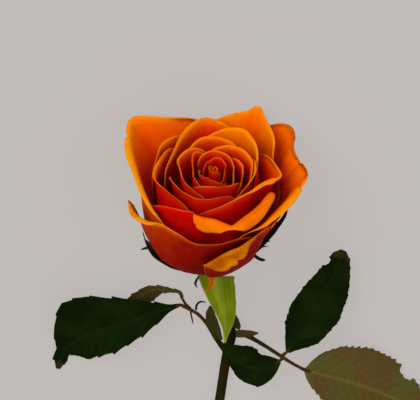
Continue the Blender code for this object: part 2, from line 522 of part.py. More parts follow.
def build_hip():
    sides = 20
    angles = np.linspace(0.0, 2 * math.pi, sides, endpoint=False)
    profile = np.array(HIP_PROFILE)
    rings = np.stack([profile[:, None, 0] * np.cos(angles), profile[:, None, 0] * np.sin(angles),
                      profile[:, None, 1] + 0.0 * angles], axis=-1)
    return tube_object("hip", rings, (70, 84, 22), 0.5)


def build_stem():
    axis = np.array([0.0, math.cos(math.radians(BLOOM_RISE)), math.sin(math.radians(BLOOM_RISE))])
    foot = np.array([0.0, 0.0, FOOT_HEIGHT])
    hip_end = -HIP_PROFILE[0][1] + 2 * CONTACT_GAP
    neck = [(*(foot - axis * hip_end), 1.85), (*(foot - axis * (hip_end + 2.0)), 1.85),
            (*(foot - axis * (hip_end + 6.0) + np.array([0.6, 0.0, 0.9])), 1.85)]
    rings, centre, forward, side, top = tube_points(neck + list(STEM_COURSE), 38, 10)
    slant = (rings[-1] - centre[-1]) @ top[-1] / STEM_COURSE[-1][3]
    rings[-1] += slant[:, None] * forward[-1] * STEM_CUT_SLANT / 2
    stem = tube_object("stem", rings, (58, 62, 18), 0.5)
    for number, (share, angle) in enumerate(PRICKLES):
        at = int(round(share * (len(centre) - 1)))
        out = math.cos(math.radians(angle)) * side[at] + math.sin(math.radians(angle)) * top[at]
        start = centre[at] + out * (STEM_RADIUS - 0.9)
        course = [(*start, 1.1), (*(start + out * 1.6), 0.75),
                  (*(start + out * PRICKLE_LENGTH * 0.75 + forward[at] * 0.6), 0.4),
                  (*(start + out * PRICKLE_LENGTH + forward[at] * 1.3), 0.12)]
        prickle = tube_object("prickle_cutter_%d" % number, tube_points(course, 5, 8)[0], (96, 52, 30), 0.5)
        join = stem.modifiers.new("prickle", "BOOLEAN")
        join.operation = "UNION"
        join.object = prickle
        prickle.hide_render = True
        prickle.display_type = "WIRE"
    return stem


def build_blades():
    colours = {"sepal_front": (116, 128, 24), "leaflet_right_terminal": (81, 67, 30)}
    made = []
    for name, thickness, fold, midrib, left, right in BLADES:
        grid = blade_grid(midrib, left, right, fold, np.array([0.0, 0.0, 1.0]), 15)
        made.append(shell_object(name, grid, thickness, colours.get(name, (22, 33, 8)), 0.45))
    return made


def build_tubes():
    return [tube_object(name, tube_points(course, 10, 8)[0], (62, 48, 20), 0.5) for name, course in TUBES]


def main():
    clear_scene()
    bloom = bpy.data.objects.new("bloom", None)
    rose = bpy.data.objects.new("rose", None)
    for empty in (bloom, rose):
        bpy.context.scene.collection.objects.link(empty)
    bloom.matrix_world = (Matrix.Translation(Vector((0.0, 0.0, FOOT_HEIGHT * MM)))
                          @ Matrix.Rotation(math.radians(BLOOM_RISE - 90.0), 4, "X"))
    bloom.parent = rose
    for piece in build_petals() + [build_hip()]:
        piece.parent = bloom
    for piece in build_blades() + build_tubes() + [build_stem()]:
        piece.parent = rose
    for item in bpy.data.objects:
        if item.name.startswith("prickle_cutter"):
            item.parent = rose
    bpy.context.view_layer.update()
    corners = np.array([item.matrix_world @ vertex.co for item in bpy.data.objects
                        if item.type == "MESH" and not item.hide_render for vertex in item.data.vertices])
    low, high = corners.min(axis=0), corners.max(axis=0)
    rose.location = (-(low[0] + high[0]) / 2, -(low[1] + high[1]) / 2, -low[2])


main()
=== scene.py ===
"""The looks of a cut rose lying on a pale floor: fine petals, sepals, leaves, stem and prickles.

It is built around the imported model.  Design tables are in millimetres and degrees.  Bloom coordinates are
azimuth, radius and height around the bloom's axis: azimuth 0 is +X, 90 points down to the floor, 180 is -X
and 270 faces up.  Rose coordinates are x, y and z from the point of the floor under the foot of that axis.
"""

import math

import bpy
import numpy as np
from mathutils import Matrix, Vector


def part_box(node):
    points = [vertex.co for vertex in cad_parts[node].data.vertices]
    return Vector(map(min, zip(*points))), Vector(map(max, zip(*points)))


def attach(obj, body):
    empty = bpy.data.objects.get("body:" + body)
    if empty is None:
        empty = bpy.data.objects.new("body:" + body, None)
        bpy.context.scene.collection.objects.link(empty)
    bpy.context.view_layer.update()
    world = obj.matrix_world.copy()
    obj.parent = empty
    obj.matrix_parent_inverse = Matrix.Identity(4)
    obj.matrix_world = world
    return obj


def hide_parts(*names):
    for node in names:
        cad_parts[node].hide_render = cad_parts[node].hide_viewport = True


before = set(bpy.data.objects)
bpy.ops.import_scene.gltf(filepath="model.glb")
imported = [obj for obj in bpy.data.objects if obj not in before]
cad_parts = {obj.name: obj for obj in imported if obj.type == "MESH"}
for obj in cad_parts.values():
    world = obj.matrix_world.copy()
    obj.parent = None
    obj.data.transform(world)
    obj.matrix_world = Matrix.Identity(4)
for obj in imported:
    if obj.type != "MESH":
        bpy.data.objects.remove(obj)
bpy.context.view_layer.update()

MM = 0.001
BODY = "root"
LEVEL = np.array([1.0, 1.0, 0.0])
UP = np.array([0.0, 0.0, 1.0])

# the bloom's layout, as in the model
BLOOM_RISE = 35.0
CONTACT_GAP = 0.30           # kept free between pieces
CLAW_HEIGHT = 0.35
CLAW_SPREAD = 0.28
FOOT_HEIGHT = 12.6
CUP_HEIGHT = 40.0
CUP_FOOT_RADIUS = 6.5
CUP_RADIUS = 30.5
LAYER_GAP = 0.66
AZIMUTH_CELL = 3             # the record of what is filled: degrees around the axis for each column,
HEIGHT_FLOOR = -12           # the height where its rows start, 1 mm apart,
HEIGHT_CELLS = 80            # and how many rows there are

# how fine the surfaces are
PETAL_SKIN = 0.24            # thickness of a petal
SEPAL_SKIN = 0.5
LEAF_SKIN = 0.34
EDGE_TAPER = 1.1             # width over which a sheet thins out to its edge
COARSE_ROWS = 7              # rows of the model's petals below the rim
BODY_ROWS = 30               # rows and columns of the fine petals
LIP_ROWS = 9
RIM_COLUMNS = 89

# name, foot azimuth, foot radius, largest cup radius, flare of the rim beyond the cup, bend radius and bend
# angle of the lip, then rim points of (azimuth, radius, height, width of the turned-back lip)
PETALS = (
    ("heart_petal_1", 70, 0.8, 1.5, -4, 1.0, 40,
     ((-60, 0.8, 52, 0.4), (20, 1.1, 53, 0.4), (110, 0.8, 53, 0.4), (200, 0.9, 52, 0.4))),
    ("heart_petal_2", 225, 1.2, 2.9, -4, 1.0, 40,
     ((110, 2.4, 52, 0.4), (170, 2.2, 53.5, 0.4), (250, 2.0, 54, 0.4), (340, 2.2, 52, 0.4))),
    ("heart_petal_3", 55, 1.6, 5.6, -4, 1.0, 40,
     ((-75, 5.6, 50, 0.4), (-35, 4.4, 53, 0.4), (5, 4.5, 54, 0.4), (45, 4.9, 54, 0.4), (85, 5.5, 54, 0.4),
      (120, 4.9, 54, 0.4), (160, 4.2, 53.5, 0.4), (190, 4.2, 51, 0.4))),
    ("heart_petal_4", 240, 2.0, 6.8, -4, 1.0, 40,
     ((160, 6.0, 50, 0.4), (200, 6.0, 53, 0.6), (240, 5.6, 53, 0.6), (285, 6.4, 52, 0.6),
      (315, 7.0, 50, 0.4))),
    ("inner_petal_back", 50, 2.0, 8.4, -4, 1.0, 40,
     ((-50, 9.5, 49, 0.4), (-11, 7.6, 53, 0.4), (37, 8.0, 53, 0.5), (67, 9.4, 53, 0.5), (90, 9.8, 53, 0.5),
      (118, 9.3, 53, 0.4), (142, 8.5, 50, 0.4))),
    ("inner_petal_left", 175, 2.6, 9.6, -4, 1.0, 40,
     ((100, 11.5, 48, 0.4), (125, 12.6, 52, 0.5), (145, 10.5, 53, 0.5), (165, 9.0, 53, 0.5),
      (195, 8.6, 53, 0.5), (225, 9.5, 53, 0.5), (248, 9.8, 50, 0.4))),
    ("inner_petal_front", 275, 2.8, 9.8, -4, 1.0, 40,
     ((212, 12.0, 49, 0.4), (238, 9.8, 53, 0.5), (265, 9.0, 53, 0.5), (300, 9.2, 52.5, 0.5),
      (318, 10.0, 52, 0.5), (338, 10.5, 49, 0.4))),
    ("inner_petal_right", 5, 3.3, 9.8, -4, 1.0, 40,
     ((-42, 10.5, 49, 0.4), (-16, 10.2, 52, 0.6), (8, 10.6, 52.5, 0.8), (30, 10.6, 52.5, 0.6),
      (60, 10.6, 49, 0.4))),
    ("middle_petal_right", 45, 3.3, 13.4, -4, 1.2, 50,
     ((-12, 13.5, 47, 0.4), (10, 14.6, 50, 0.6), (25, 15.4, 51, 0.8), (45, 15.4, 52, 0.8),
      (65, 14.4, 52, 0.8), (84, 12.6, 52, 0.6), (98, 12.4, 50, 0.4))),
    ("middle_petal_left", 180, 3.9, 13.4, -4, 1.2, 50,
     ((102, 15.0, 48, 0.4), (122, 15.4, 51, 0.6), (150, 15.8, 51, 0.8), (175, 13.8, 52, 0.6),
      (205, 12.6, 52, 0.5), (228, 12.8, 52, 0.5), (252, 13.4, 50, 0.4))),
    ("middle_petal_back", 95, 3.9, 16.0, -4, 1.2, 50,
     ((44, 15.0, 47, 0.4), (62, 16.2, 51, 0.6), (78, 17.2, 52, 0.8), (92, 18.6, 52, 0.8),
      (105, 18.6, 51.5, 0.8), (120, 17.0, 51, 0.6), (142, 16.8, 48, 0.4))),
    ("middle_petal_front", 240, 4.3, 15.8, -4, 1.2, 50,
     ((172, 17.6, 47, 0.4), (195, 17.0, 50, 0.5), (215, 16.2, 51, 0.5), (240, 16.1, 52, 0.7),
      (262, 15.6, 52, 0.7), (285, 14.4, 52, 0.5), (305, 14.4, 49, 0.4))),
    ("middle_petal_lower_right", -25, 4.3, 13.0, -4, 1.2, 50,
     ((-85, 15.8, 48, 0.4), (-55, 14.4, 51, 0.6), (-25, 13.8, 51, 0.8), (5, 15.2, 51.5, 1.0),
      (22, 16.4, 50.5, 0.8), (40, 17.2, 47, 0.4))),
    ("middle_petal_upper_right", 55, 4.7, 20.0, -4, 1.4, 55,
     ((-6, 16.0, 45, 0.4), (12, 17.0, 49, 0.6), (27, 18.8, 50, 0.8), (40, 21.0, 51, 1.0),
      (52, 23.6, 51, 1.2), (64, 25.6, 51, 1.2), (76, 25.4, 50.5, 1.0), (88, 23.4, 49.5, 0.6),
      (108, 21.5, 46, 0.4))),
    ("outer_petal_right_tip", -30, 4.8, 17.0, 2, 1.8, 100,
     ((-114, 19.8, 45, 0.5), (-97, 18.6, 49, 1.0), (-66, 16.4, 51.5, 1.6), (-38, 16.4, 51.5, 2.4),
      (-16, 18.6, 50.5, 3.4), (-6, 21.8, 50, 3.4), (0, 25.2, 49, 1.4), (11, 24.7, 49, 0.8),
      (24, 23.6, 49, 0.6), (50, 22.4, 44, 0.4))),
    ("outer_petal_top", 110, 5.0, 22.0, -4, 1.4, 60,
     ((54, 27.0, 42, 0.4), (72, 28.0, 46.5, 0.6), (86, 30.2, 49, 1.0), (97, 31.6, 49.6, 1.2),
      (108, 28.6, 49.6, 1.6), (120, 24.6, 49.5, 1.6), (134, 21.6, 49, 1.4), (150, 20.0, 49, 1.0),
      (172, 19.8, 47, 0.6), (190, 19.6, 43, 0.4))),
    ("outer_petal_left", 185, 5.4, 23.0, -4, 1.4, 55,
     ((122, 23.4, 43, 0.4), (139, 23.4, 48, 0.6), (157, 22.8, 50, 1.0), (172, 23.4, 50, 1.2),
      (184, 23.6, 50, 1.2), (196, 22.0, 50, 1.0), (210, 20.6, 50, 0.8), (228, 20.0, 50, 0.6),
      (244, 20.2, 47, 0.4))),
    ("outer_petal_left_back", 140, 5.8, 25.0, -4, 1.4, 55,
     ((98, 26.0, 42, 0.4), (118, 25.8, 47.5, 0.6), (137, 26.6, 50, 0.8), (152, 25.6, 49, 0.6),
      (178, 25.0, 44, 0.4))),
    ("outer_petal_front", 285, 5.5, 20.5, 4, 2.0, 150,
     ((200, 26.5, 42, 0.5), (216, 25.2, 48, 0.5), (231, 22.0, 49, 0.6), (246, 20.2, 49, 0.8),
      (252, 20.1, 49, 6.5), (270, 21.2, 48, 9.4), (281, 24.0, 47.2, 6.0), (285, 25.2, 47, 3.0),
      (290, 24.6, 47.3, 5.6), (300, 23.3, 48, 7.2), (319, 22.2, 48, 6.4), (336, 21.8, 47.6, 5.0),
      (350, 21.4, 43, 0.5))),
    ("outer_petal_upper_tip", 62, 5.8, 28.0, -4, 1.4, 60,
     ((12, 26.5, 41, 0.4), (28, 26.6, 46, 0.6), (42, 31.5, 47, 1.0), (53, 36.0, 48, 1.0),
      (61, 40.6, 48.2, 0.8), (66, 44.2, 48.4, 0.5), (70, 40.8, 47.8, 0.6), (77, 37.6, 47.4, 0.8),
      (87, 35.0, 46, 0.6), (98, 34.0, 42, 0.4))),
    ("guard_petal_back", 92, 6.2, 29.5, -4, 1.4, 60,
     ((40, 30.0, 28, 0.4), (58, 31.5, 33, 0.6), (80, 31.5, 35, 0.8), (104, 31.5, 35, 0.8),
      (124, 31.0, 33, 0.6), (144, 30.0, 27, 0.4))),
    ("guard_petal_left", 165, 6.4, 29.5, -4, 2.2, 130,
     ((86, 36.0, 39, 0.4), (104, 37.0, 45.5, 0.6), (119, 41.5, 46, 0.9), (127, 45.6, 46, 1.2),
      (133, 48.6, 46, 1.6), (140, 44.6, 46, 2.2), (150, 38.6, 46, 3.2), (163, 32.8, 46.5, 3.6),
      (180, 29.6, 46.5, 3.8), (197, 28.2, 46, 3.8), (214, 28.0, 44.5, 3.0), (228, 28.2, 41.5, 1.0),
      (238, 28.4, 37, 0.4))),
    ("guard_petal_right", -8, 6.1, 22.5, 9, 2.2, 110,
     ((-82, 27.0, 37, 0.4), (-66, 27.2, 42.5, 0.8), (-44, 27.6, 44, 2.4), (-28, 28.8, 45, 3.4),
      (-12, 31.0, 45.5, 3.4), (-1, 34.2, 46, 2.2), (6, 36.8, 46.3, 0.8), (14, 35.8, 46.8, 0.8),
      (23, 34.6, 47, 0.8), (31, 36.0, 47, 0.8), (40, 41.0, 46.5, 1.0), (48, 42.6, 45.5, 1.0),
      (56, 40.0, 43.5, 0.6), (66, 36.5, 38, 0.4))),
    ("guard_petal_front_left", 245, 6.6, 28.5, 2, 2.0, 120,
     ((190, 32.4, 38, 0.4), (197, 35.4, 46.4, 0.5), (202, 34.8, 45, 2.4), (209, 34.0, 44.6, 3.4),
      (218, 31.4, 44.3, 3.6), (226, 28.2, 44, 1.0), (241, 28.8, 43.5, 0.7), (256, 31.0, 43, 0.7),
      (272, 30.6, 43, 0.6), (288, 28.6, 43, 0.5), (306, 27.0, 38, 0.4))),
    ("guard_petal_front_right", -55, 6.4, 23.5, 4, 0.9, 135,
     ((-29, 23.0, 36, 0.4), (-36, 25.0, 42, 0.5), (-46, 27.0, 44.3, 0.6), (-58, 29.6, 44.2, 0.6),
      (-67, 31.4, 44.2, 3.2), (-74, 31.7, 43.2, 8.2), (-81, 31.2, 41.6, 9.6), (-88, 30.6, 38.6, 9.8),
      (-94, 29.6, 35, 8.6), (-98, 27.5, 30.5, 2.4))),
)

# name, then points along the midrib of (azimuth, radius, height), half-widths on the two sides as (share of
# the length, width)
BACK_SEPAL_WIDTHS = ((0, 2.2), (0.2, 3.4), (0.5, 3.6), (0.8, 1.8), (1, 0.3))
UPRIGHT_SEPALS = (
    ("sepal_left",
     ((209, 7.4, -0.8), (209, 12.6, 2.2), (208, 19, 7.4), (206, 25, 14), (203, 29.6, 20.5), (200, 31, 28)),
     ((0, 2.4), (0.2, 4.0), (0.5, 6.0), (0.75, 5.6), (0.9, 3.2), (1, 0.3)),
     ((0, 2.4), (0.2, 4.0), (0.5, 5.6), (0.75, 5.2), (0.9, 3.0), (1, 0.3))),
    ("sepal_right",
     ((-8, 7.4, -0.8), (-6, 12, 2.5), (-4, 17, 8.5), (-2, 21, 15.5), (0, 24, 24), (2, 25, 30)),
     ((0, 2.4), (0.2, 3.6), (0.5, 4.0), (0.8, 2.2), (1, 0.3)),
     ((0, 2.4), (0.2, 3.6), (0.28, 3.6), (0.32, 9.5), (0.37, 3.4), (0.5, 3.4), (0.53, 8.5), (0.57, 3.0),
      (0.64, 3.0), (0.67, 7.5), (0.71, 2.4), (0.9, 1.4), (1, 0.3))),
    ("sepal_back_left",
     ((128, 7.4, -0.8), (131, 11, 1.5), (138, 15, 5), (146, 18, 10), (154, 20, 15)),
     BACK_SEPAL_WIDTHS, BACK_SEPAL_WIDTHS),
    ("sepal_back_right",
     ((52, 7.4, -0.8), (49, 11, 1.5), (42, 15, 5), (34, 18, 10), (26, 20, 15)),
     BACK_SEPAL_WIDTHS, BACK_SEPAL_WIDTHS),
)

# name, fold angle, midrib points (x, y, z), half-widths on the left and on the right of the midrib, looking
# from foot to tip with the top up; x and y are measured from the foot of the bloom's axis
BLADES = (
    ("sepal_front", -12,
     ((1.4, -6.1, 20.2), (1.2, -9.0, 19.6), (2, -15, 18.2), (3.5, -22, 16.2), (4.5, -29, 14.5),
      (4.5, -37, 12.8)),
     ((0, 7.0), (0.22, 7.2), (0.44, 6.3), (0.63, 4.9), (0.78, 2.8), (0.9, 1.1), (1, 0.3)),
     ((0, 9.0), (0.1, 7.2), (0.22, 5.9), (0.44, 4.2), (0.63, 2.6), (0.78, 1.3), (0.9, 0.7), (1, 0.3))),
    ("leaflet_left_terminal", 12,
     ((-14.5, -20.5, 12), (-30, -25, 13.5), (-46, -31, 11.5), (-58, -37, 7.5), (-65, -44, 3.2),
      (-67.5, -52, 0.9)),
     ((0, 0.7), (0.06, 1.3), (0.15, 4.2), (0.3, 8.2), (0.5, 11.0), (0.7, 9.5), (0.84, 3.4), (0.92, 3.2),
      (1, 0.8)),
     ((0, 0.7), (0.06, 1.6), (0.15, 4.6), (0.3, 10.0), (0.5, 17.0), (0.65, 18.4), (0.76, 11.0), (0.86, 3.6),
      (0.93, 2.8), (1, 0.8))),
    ("leaflet_left_side", -20,
     ((-13.6, -18.0, 10.2), (-14.8, -15.8, 9.8), (-20, -15.0, 8.8), (-26, -15.6, 7.6), (-33, -19.6, 6),
      (-40, -27, 3.6)),
     ((0, 0.6), (0.15, 0.9), (0.3, 1.6), (0.5, 4.6), (0.7, 5.4), (0.9, 3.0), (1, 0.4)),
     ((0, 0.6), (0.15, 1.0), (0.3, 1.6), (0.5, 2.6), (0.7, 3.0), (0.9, 2.0), (1, 0.4))),
    ("leaflet_right_upper", 10,
     ((31, -41.2, 11.4), (38, -32, 12.5), (44, -20, 12.2), (50, -9, 10), (54.5, 2, 7)),
     ((0, 0.9), (0.08, 4.6), (0.22, 9.6), (0.4, 10.8), (0.6, 9.2), (0.82, 6.2), (0.95, 4.0), (1, 1.2)),
     ((0, 0.9), (0.08, 3.2), (0.22, 7.8), (0.45, 10.8), (0.65, 9.6), (0.85, 5.8), (0.95, 3.8), (1, 1.2))),
    ("leaflet_right_terminal", -10,
     ((38.6, -49.4, 11), (50, -53, 10), (62, -57, 8.2), (78, -64.5, 4.5), (96, -75, 1)),
     ((0, 0.9), (0.03, 4.6), (0.08, 8.6), (0.2, 14.0), (0.38, 16.5), (0.55, 15.5), (0.75, 10.5), (0.9, 5.0),
      (1, 0.4)),
     ((0, 0.9), (0.03, 3.8), (0.08, 7.0), (0.2, 12.2), (0.38, 15.5), (0.55, 15.0), (0.75, 10.5), (0.9, 5.0),
      (1, 0.4))),
    ("leaflet_right_lower", 12,
     ((28, -45.8, 10.6), (18.5, -49, 10.2), (9.5, -46, 9.4), (1, -37.5, 8.6)),
     ((0, 0.9), (0.1, 3.8), (0.32, 7.8), (0.5, 6.2), (0.68, 2.8), (0.85, 1.4), (1, 0.5)),
     ((0, 0.9), (0.1, 4.0), (0.32, 9.0), (0.5, 9.4), (0.68, 8.0), (0.8, 5.4), (0.92, 2.0), (1, 0.5))),
    ("stipule_left", 20,
     ((3.0, -36.4, 10.6), (1.0, -32, 11.6), (-1.2, -26.5, 12.6), (-1.8, -20.5, 13.5)),
     ((0, 0.6), (0.3, 1.8), (0.6, 2.6), (0.85, 2.0), (1, 0.4)),
     ((0, 0.6), (0.3, 1.8), (0.6, 2.4), (0.85, 1.6), (1, 0.3))),
    ("stipule_right_upper", 15,
     ((8.4, -31.6, 7.4), (8.9, -29.8, 9), (9.0, -27.6, 10.4), (8.8, -25.0, 11.2)),
     ((0, 2.6), (0.3, 2.4), (0.7, 1.3), (1, 0.3)),
     ((0, 2.6), (0.3, 2.4), (0.7, 1.3), (1, 0.3))),
    ("stipule_right_lower", 10,
     ((9.0, -34.2, 8.4), (12, -33.8, 9.4), (15, -33.6, 10.2), (18.6, -33.2, 10.8)),
     ((0, 1.6), (0.3, 1.7), (0.7, 1.4), (1, 0.3)),
     ((0, 1.6), (0.3, 1.7), (0.7, 1.4), (1, 0.3))),
)

# name, points (x, y, z, radius)
TUBES = (
    ("rachis_left",
     ((3.0, -40.0, 5.2, 1.1), (0.8, -37.0, 6.7, 1.0), (-3, -30, 8.8, 0.8), (-7, -25, 10.6, 0.75),
      (-10.5, -22.6, 11.6, 0.75), (-13.6, -20.9, 12, 0.75))),
    ("rachis_right",
     ((10.6, -35.6, 4.2, 1.3), (13.6, -35.6, 6.2, 1.1), (20.6, -38.8, 9, 0.85), (28.6, -43.6, 10.9, 0.8),
      (33, -46.4, 11.3, 0.7), (37.8, -49.1, 11.1, 0.7))),
)

# the stem below the bloom, (x, y, z, radius); z is that of its centre line
STEM_COURSE = (
    (3.0, -21, 3.4, 1.9), (5.6, -29, 2.7, 2.0), (6.9, -35.5, 2.7, 2.5), (5.8, -43, 2.6, 2.2),
    (4.4, -51, 2.5, 2.05), (2.2, -66, 2.4, 2.1), (-1, -85, 2.5, 2.1), (-2, -104, 3.0, 2.15),
    (-1.2, -112, 3.1, 2.7), (0.4, -120, 3.0, 2.2), (3, -142, 2.6, 2.2), (5, -166, 2.5, 2.25),
    (5, -188, 2.6, 2.3), (4, -197, 2.9, 2.9), (2.6, -206, 2.7, 2.35),
    (0, -232, 2.5, 2.4))
STEM_CUT_SLANT = 4.0         # the slant of the cut across the stem, along its length
STEM_RINGS = 300
NECK_RADIUS = 1.85           # of the stem just under the hip
# rings on the cut: share of the way to the middle, and how far into the wood its colour is
CUT_RINGS = ((0.06, 0.12), (0.2, 0.2), (0.45, 0.45), (0.7, 0.7), (0.9, 0.9))

# share of the way down the stem, angle around it (90 is up)
PRICKLES = ((0.30, 20), (0.37, 160), (0.52, 95), (0.66, 30), (0.74, 150), (0.90, 60))
PRICKLE_LENGTH = 4.2

HIP_PROFILE = ((2.0, -9.8), (3.0, -9.4), (4.4, -7.6), (5.3, -5.2), (5.4, -3.2), (5.8, -1.6), (6.6, -0.6),
               (6.4, 0.0))

# how warm a petal's faces are, from deep red at 0 to yellow-orange at 1, as points of (mm below the fold of
# its lip, warmth) for the face towards the axis and for the back, then how much warmer the back gets towards
# one side. The low, dark end far below the rims, deep in the bloom, is partly the petals' own red and partly
# painted shade; a negative last value darkens the back towards one side, partly as painted shade
FACE_WARMTH_AND_SHADE = {
    "heart_petal": (((-0.5, 0.66), (0.2, 0.56), (1.4, 0.46), (5, 0.34), (11, 0.14)),
                    ((-0.5, 0.66), (0.2, 0.52), (2.4, 0.42), (7, 0.32), (15, 0.15)), 0.0),
    "inner_petal": (((-1.0, 0.82), (0.0, 0.66), (2, 0.53), (7, 0.36), (15, 0.12)),
                    ((-1.0, 0.80), (-0.2, 0.54), (3, 0.43), (9, 0.36), (19, 0.15)), 0.0),
    "middle_petal": (((-1.3, 0.90), (0.2, 0.76), (2.7, 0.60), (8, 0.44), (15, 0.24), (27, 0.06)),
                     ((-1.3, 0.86), (-0.3, 0.54), (3, 0.43), (11, 0.37), (27, 0.15)), 0.0),
    "middle_petal_upper_right": (((-1.3, 0.95), (0.2, 0.88), (8, 0.80), (14, 0.60), (23, 0.3)),
                                 ((-1.3, 0.88), (-0.3, 0.54), (3, 0.43), (13, 0.37), (27, 0.15)), 0.0),
    "outer_petal": (((-1.5, 0.92), (0.4, 0.80), (4, 0.60), (11, 0.47), (19, 0.28), (29, 0.08)),
                    ((-1.5, 0.86), (-0.5, 0.54), (2, 0.44), (13, 0.38), (33, 0.15)), 0.0),
    "outer_petal_upper_tip": (((-1.2, 0.96), (1, 0.86), (9, 0.79), (17, 0.66), (25, 0.50), (35, 0.2)),
                              ((-1.2, 0.9), (1, 0.7), (19, 0.5), (44, 0.2)), 0.0),
    "outer_petal_front": (((-9, 0.90), (-4, 0.86), (0, 0.80), (4, 0.5), (12, 0.2)),
                          ((-9, 0.60), (0, 0.40), (8, 0.40), (18, 0.32), (34, 0.12)), 0.0),
    "guard_petal": (((-1.5, 0.95), (0.2, 0.86), (7, 0.74), (17, 0.60), (27, 0.42), (39, 0.15)),
                    ((-1.5, 0.92), (1, 0.72), (7, 0.62), (23, 0.5), (47, 0.3)), 0.0),
    "guard_petal_left": (((-3.6, 1.0), (-0.6, 0.96), (1.2, 0.82), (8, 0.75), (16, 0.66), (25, 0.50),
                          (36, 0.25)),
                         ((-3.6, 0.92), (0, 0.75), (8, 0.64), (26, 0.5), (46, 0.3)), 0.0),
    "guard_petal_right": (((-3.6, 0.98), (-0.4, 0.92), (1.2, 0.86), (6, 0.80), (14, 0.70), (24, 0.58),
                           (36, 0.38)),
                          ((-3.6, 0.92), (0, 0.72), (6, 0.62), (22, 0.5), (46, 0.3)), 0.0),
    # this petal's back darkens towards one side, partly as painted shade
    "guard_petal_front_left": (((-3.4, 1.0), (-1, 0.97), (4, 0.8), (16, 0.4)),
                               ((-1.0, 1.0), (0.0, 0.84), (2, 0.66), (11, 0.56), (25, 0.42), (43, 0.2)),
                               -0.38),
    "guard_petal_front_right": (((-10, 0.95), (-5, 0.88), (0, 0.86), (4, 0.74), (14, 0.5)),
                                ((-1.0, 0.85), (0.5, 0.60), (7, 0.42), (19, 0.32), (43, 0.12)), 0.0),
}

# unevenness of the rim and of the face, in mm
RUFFLES = {"heart_petal": (0.9, 0.0), "inner_petal": (0.45, 0.1), "middle_petal": (0.4, 0.2),
           "outer_petal": (0.35, 0.35), "guard_petal": (0.3, 0.6)}

# how much wider the fine lip is than the model's, in mm
LIP_GAIN = {"heart_petal": 0.25, "inner_petal": 0.5, "middle_petal": 0.7, "outer_petal": 0.5,
            "guard_petal": 0.2}

# nicks in the rims: petal, share of the way along the rim, half-width as a share, depth
NICKS = (
    ("guard_petal_left", 0.385, 0.012, 1.3), ("guard_petal_right", 0.80, 0.016, 2.2),
    ("guard_petal_right", 0.66, 0.016, 2.0), ("guard_petal_right", 0.52, 0.018, 2.4),
    ("outer_petal_front", 0.36, 0.012, 1.0), ("guard_petal_front_right", 0.66, 0.05, 0.8),
    ("guard_petal_front_right", 0.80, 0.05, 1.0),
)

# serrations of the leaflets: teeth along a margin and their depth
TEETH = {"leaflet_left_terminal": (9, 1.1), "leaflet_left_side": (9, 0.6), "leaflet_right_upper": (15, 0.5),
         "leaflet_right_terminal": (24, 1.4), "leaflet_right_lower": (8, 0.35)}

# bites out of the leaf margins: leaflet, side (1 left, -1 right), share along the midrib, half-width, depth
BITES = (
    ("leaflet_right_upper", 1, 0.86, 0.04, 2.0), ("leaflet_right_terminal", 1, 0.66, 0.05, 3.0),
)

# small stalks between the leaf stalks and the leaflets' feet, and hair-like lobes: name, points of
# (x, y, z, radius)
SMALL_STALKS = (
    ("stalk_left_side", ((-10.2, -22.4, 11.4, 0.7), (-12.2, -20.4, 10.9, 0.6),
                                       (-14.2, -17.4, 10.2, 0.5))),
    ("stalk_left_terminal",
     ((-12.6, -21.4, 11.8, 0.72), (-14.2, -20.6, 11.9, 0.7), (-16.5, -21.0, 12.0, 0.55))),
    ("stalk_right_upper", ((28.2, -43.6, 10.8, 0.75), (30, -42.2, 11.1, 0.7),
                                         (32, -40.0, 11.4, 0.5))),
    ("stalk_right_lower", ((28.9, -43.4, 10.8, 0.75), (28.4, -45.0, 10.6, 0.7),
                                         (26.4, -46.6, 10.5, 0.5))),
    ("stalk_right_terminal", ((36.6, -48.5, 11.1, 0.7), (38.4, -49.4, 11.0, 0.8),
                                            (41, -50.2, 10.8, 0.6))),
    ("stipule_hair",
     ((-10.2, -22.6, 11.4, 0.4), (-9.9, -25.0, 10.9, 0.35), (-9.4, -27.6, 10.2, 0.3),
      (-9.0, -29.8, 9.4, 0.12))),
    ("stipule_hook",
     ((-7.8, -22.6, 11.8, 0.5), (-7.6, -20.8, 12.6, 0.5), (-6.6, -19.2, 13.0, 0.45),
      (-5.0, -18.9, 12.8, 0.35), (-3.6, -19.5, 12.4, 0.12))),
    ("sepal_curl",
     ((-6.6, -6.6, 18.4, 0.4), (-7.6, -8.4, 17.8, 0.5), (-8.0, -10.0, 17.2, 0.5),
      (-7.2, -11.9, 16.8, 0.12))),
    ("sepal_left_spur",
     ((-26.4, 9.5, 33, 0.8), (-28.0, 9.2, 33, 0.6), (-29.2, 8.8, 33, 0.4), (-30.2, 8.5, 33, 0.15))),
    ("sepal_right_lobe_1",
     ((18.5, 9.4, 22, 0.5), (20.5, 10.2, 22, 0.5), (22.2, 10.9, 22, 0.55), (23.4, 10.8, 22, 0.2))),
    ("sepal_right_lobe_2",
     ((18.0, 8.6, 22, 0.45), (20.3, 9.1, 22, 0.45), (21.8, 9.4, 22, 0.5), (23.0, 9.5, 22, 0.15))),
    ("sepal_right_lobe_3", ((17.5, 6.9, 22, 0.4), (19.8, 7.1, 22, 0.35), (22.4, 7.4, 22, 0.12))),
    ("sepal_right_lobe_4",
     ((14.5, 4.6, 21, 0.7), (16.8, 2.9, 21, 0.75), (18.6, 1.7, 21, 0.7), (20.4, 1.2, 21, 0.6),
      (21.2, 1.4, 21, 0.15))),
)

# the narrow curled petal that hangs from the foot of the bloom: points (x, y, z), half-width
HANGING_PETAL = ((-4.2, 2.6, 38.5), (-3.0, 0.4, 38), (-1.6, -2.4, 35), (-1.5, -5.3, 31.8),
                 (-2.3, -8.0, 29), (-4.0, -11.0, 26))
HANGING_WIDTHS = ((0, 0.9), (0.2, 1.3), (0.45, 1.0), (0.6, 1.35), (0.8, 1.0), (1, 0.3))
HANGING_FOLD = 35
HANGING_SKIN = 0.2
HANGING_WARMTH = 0.84

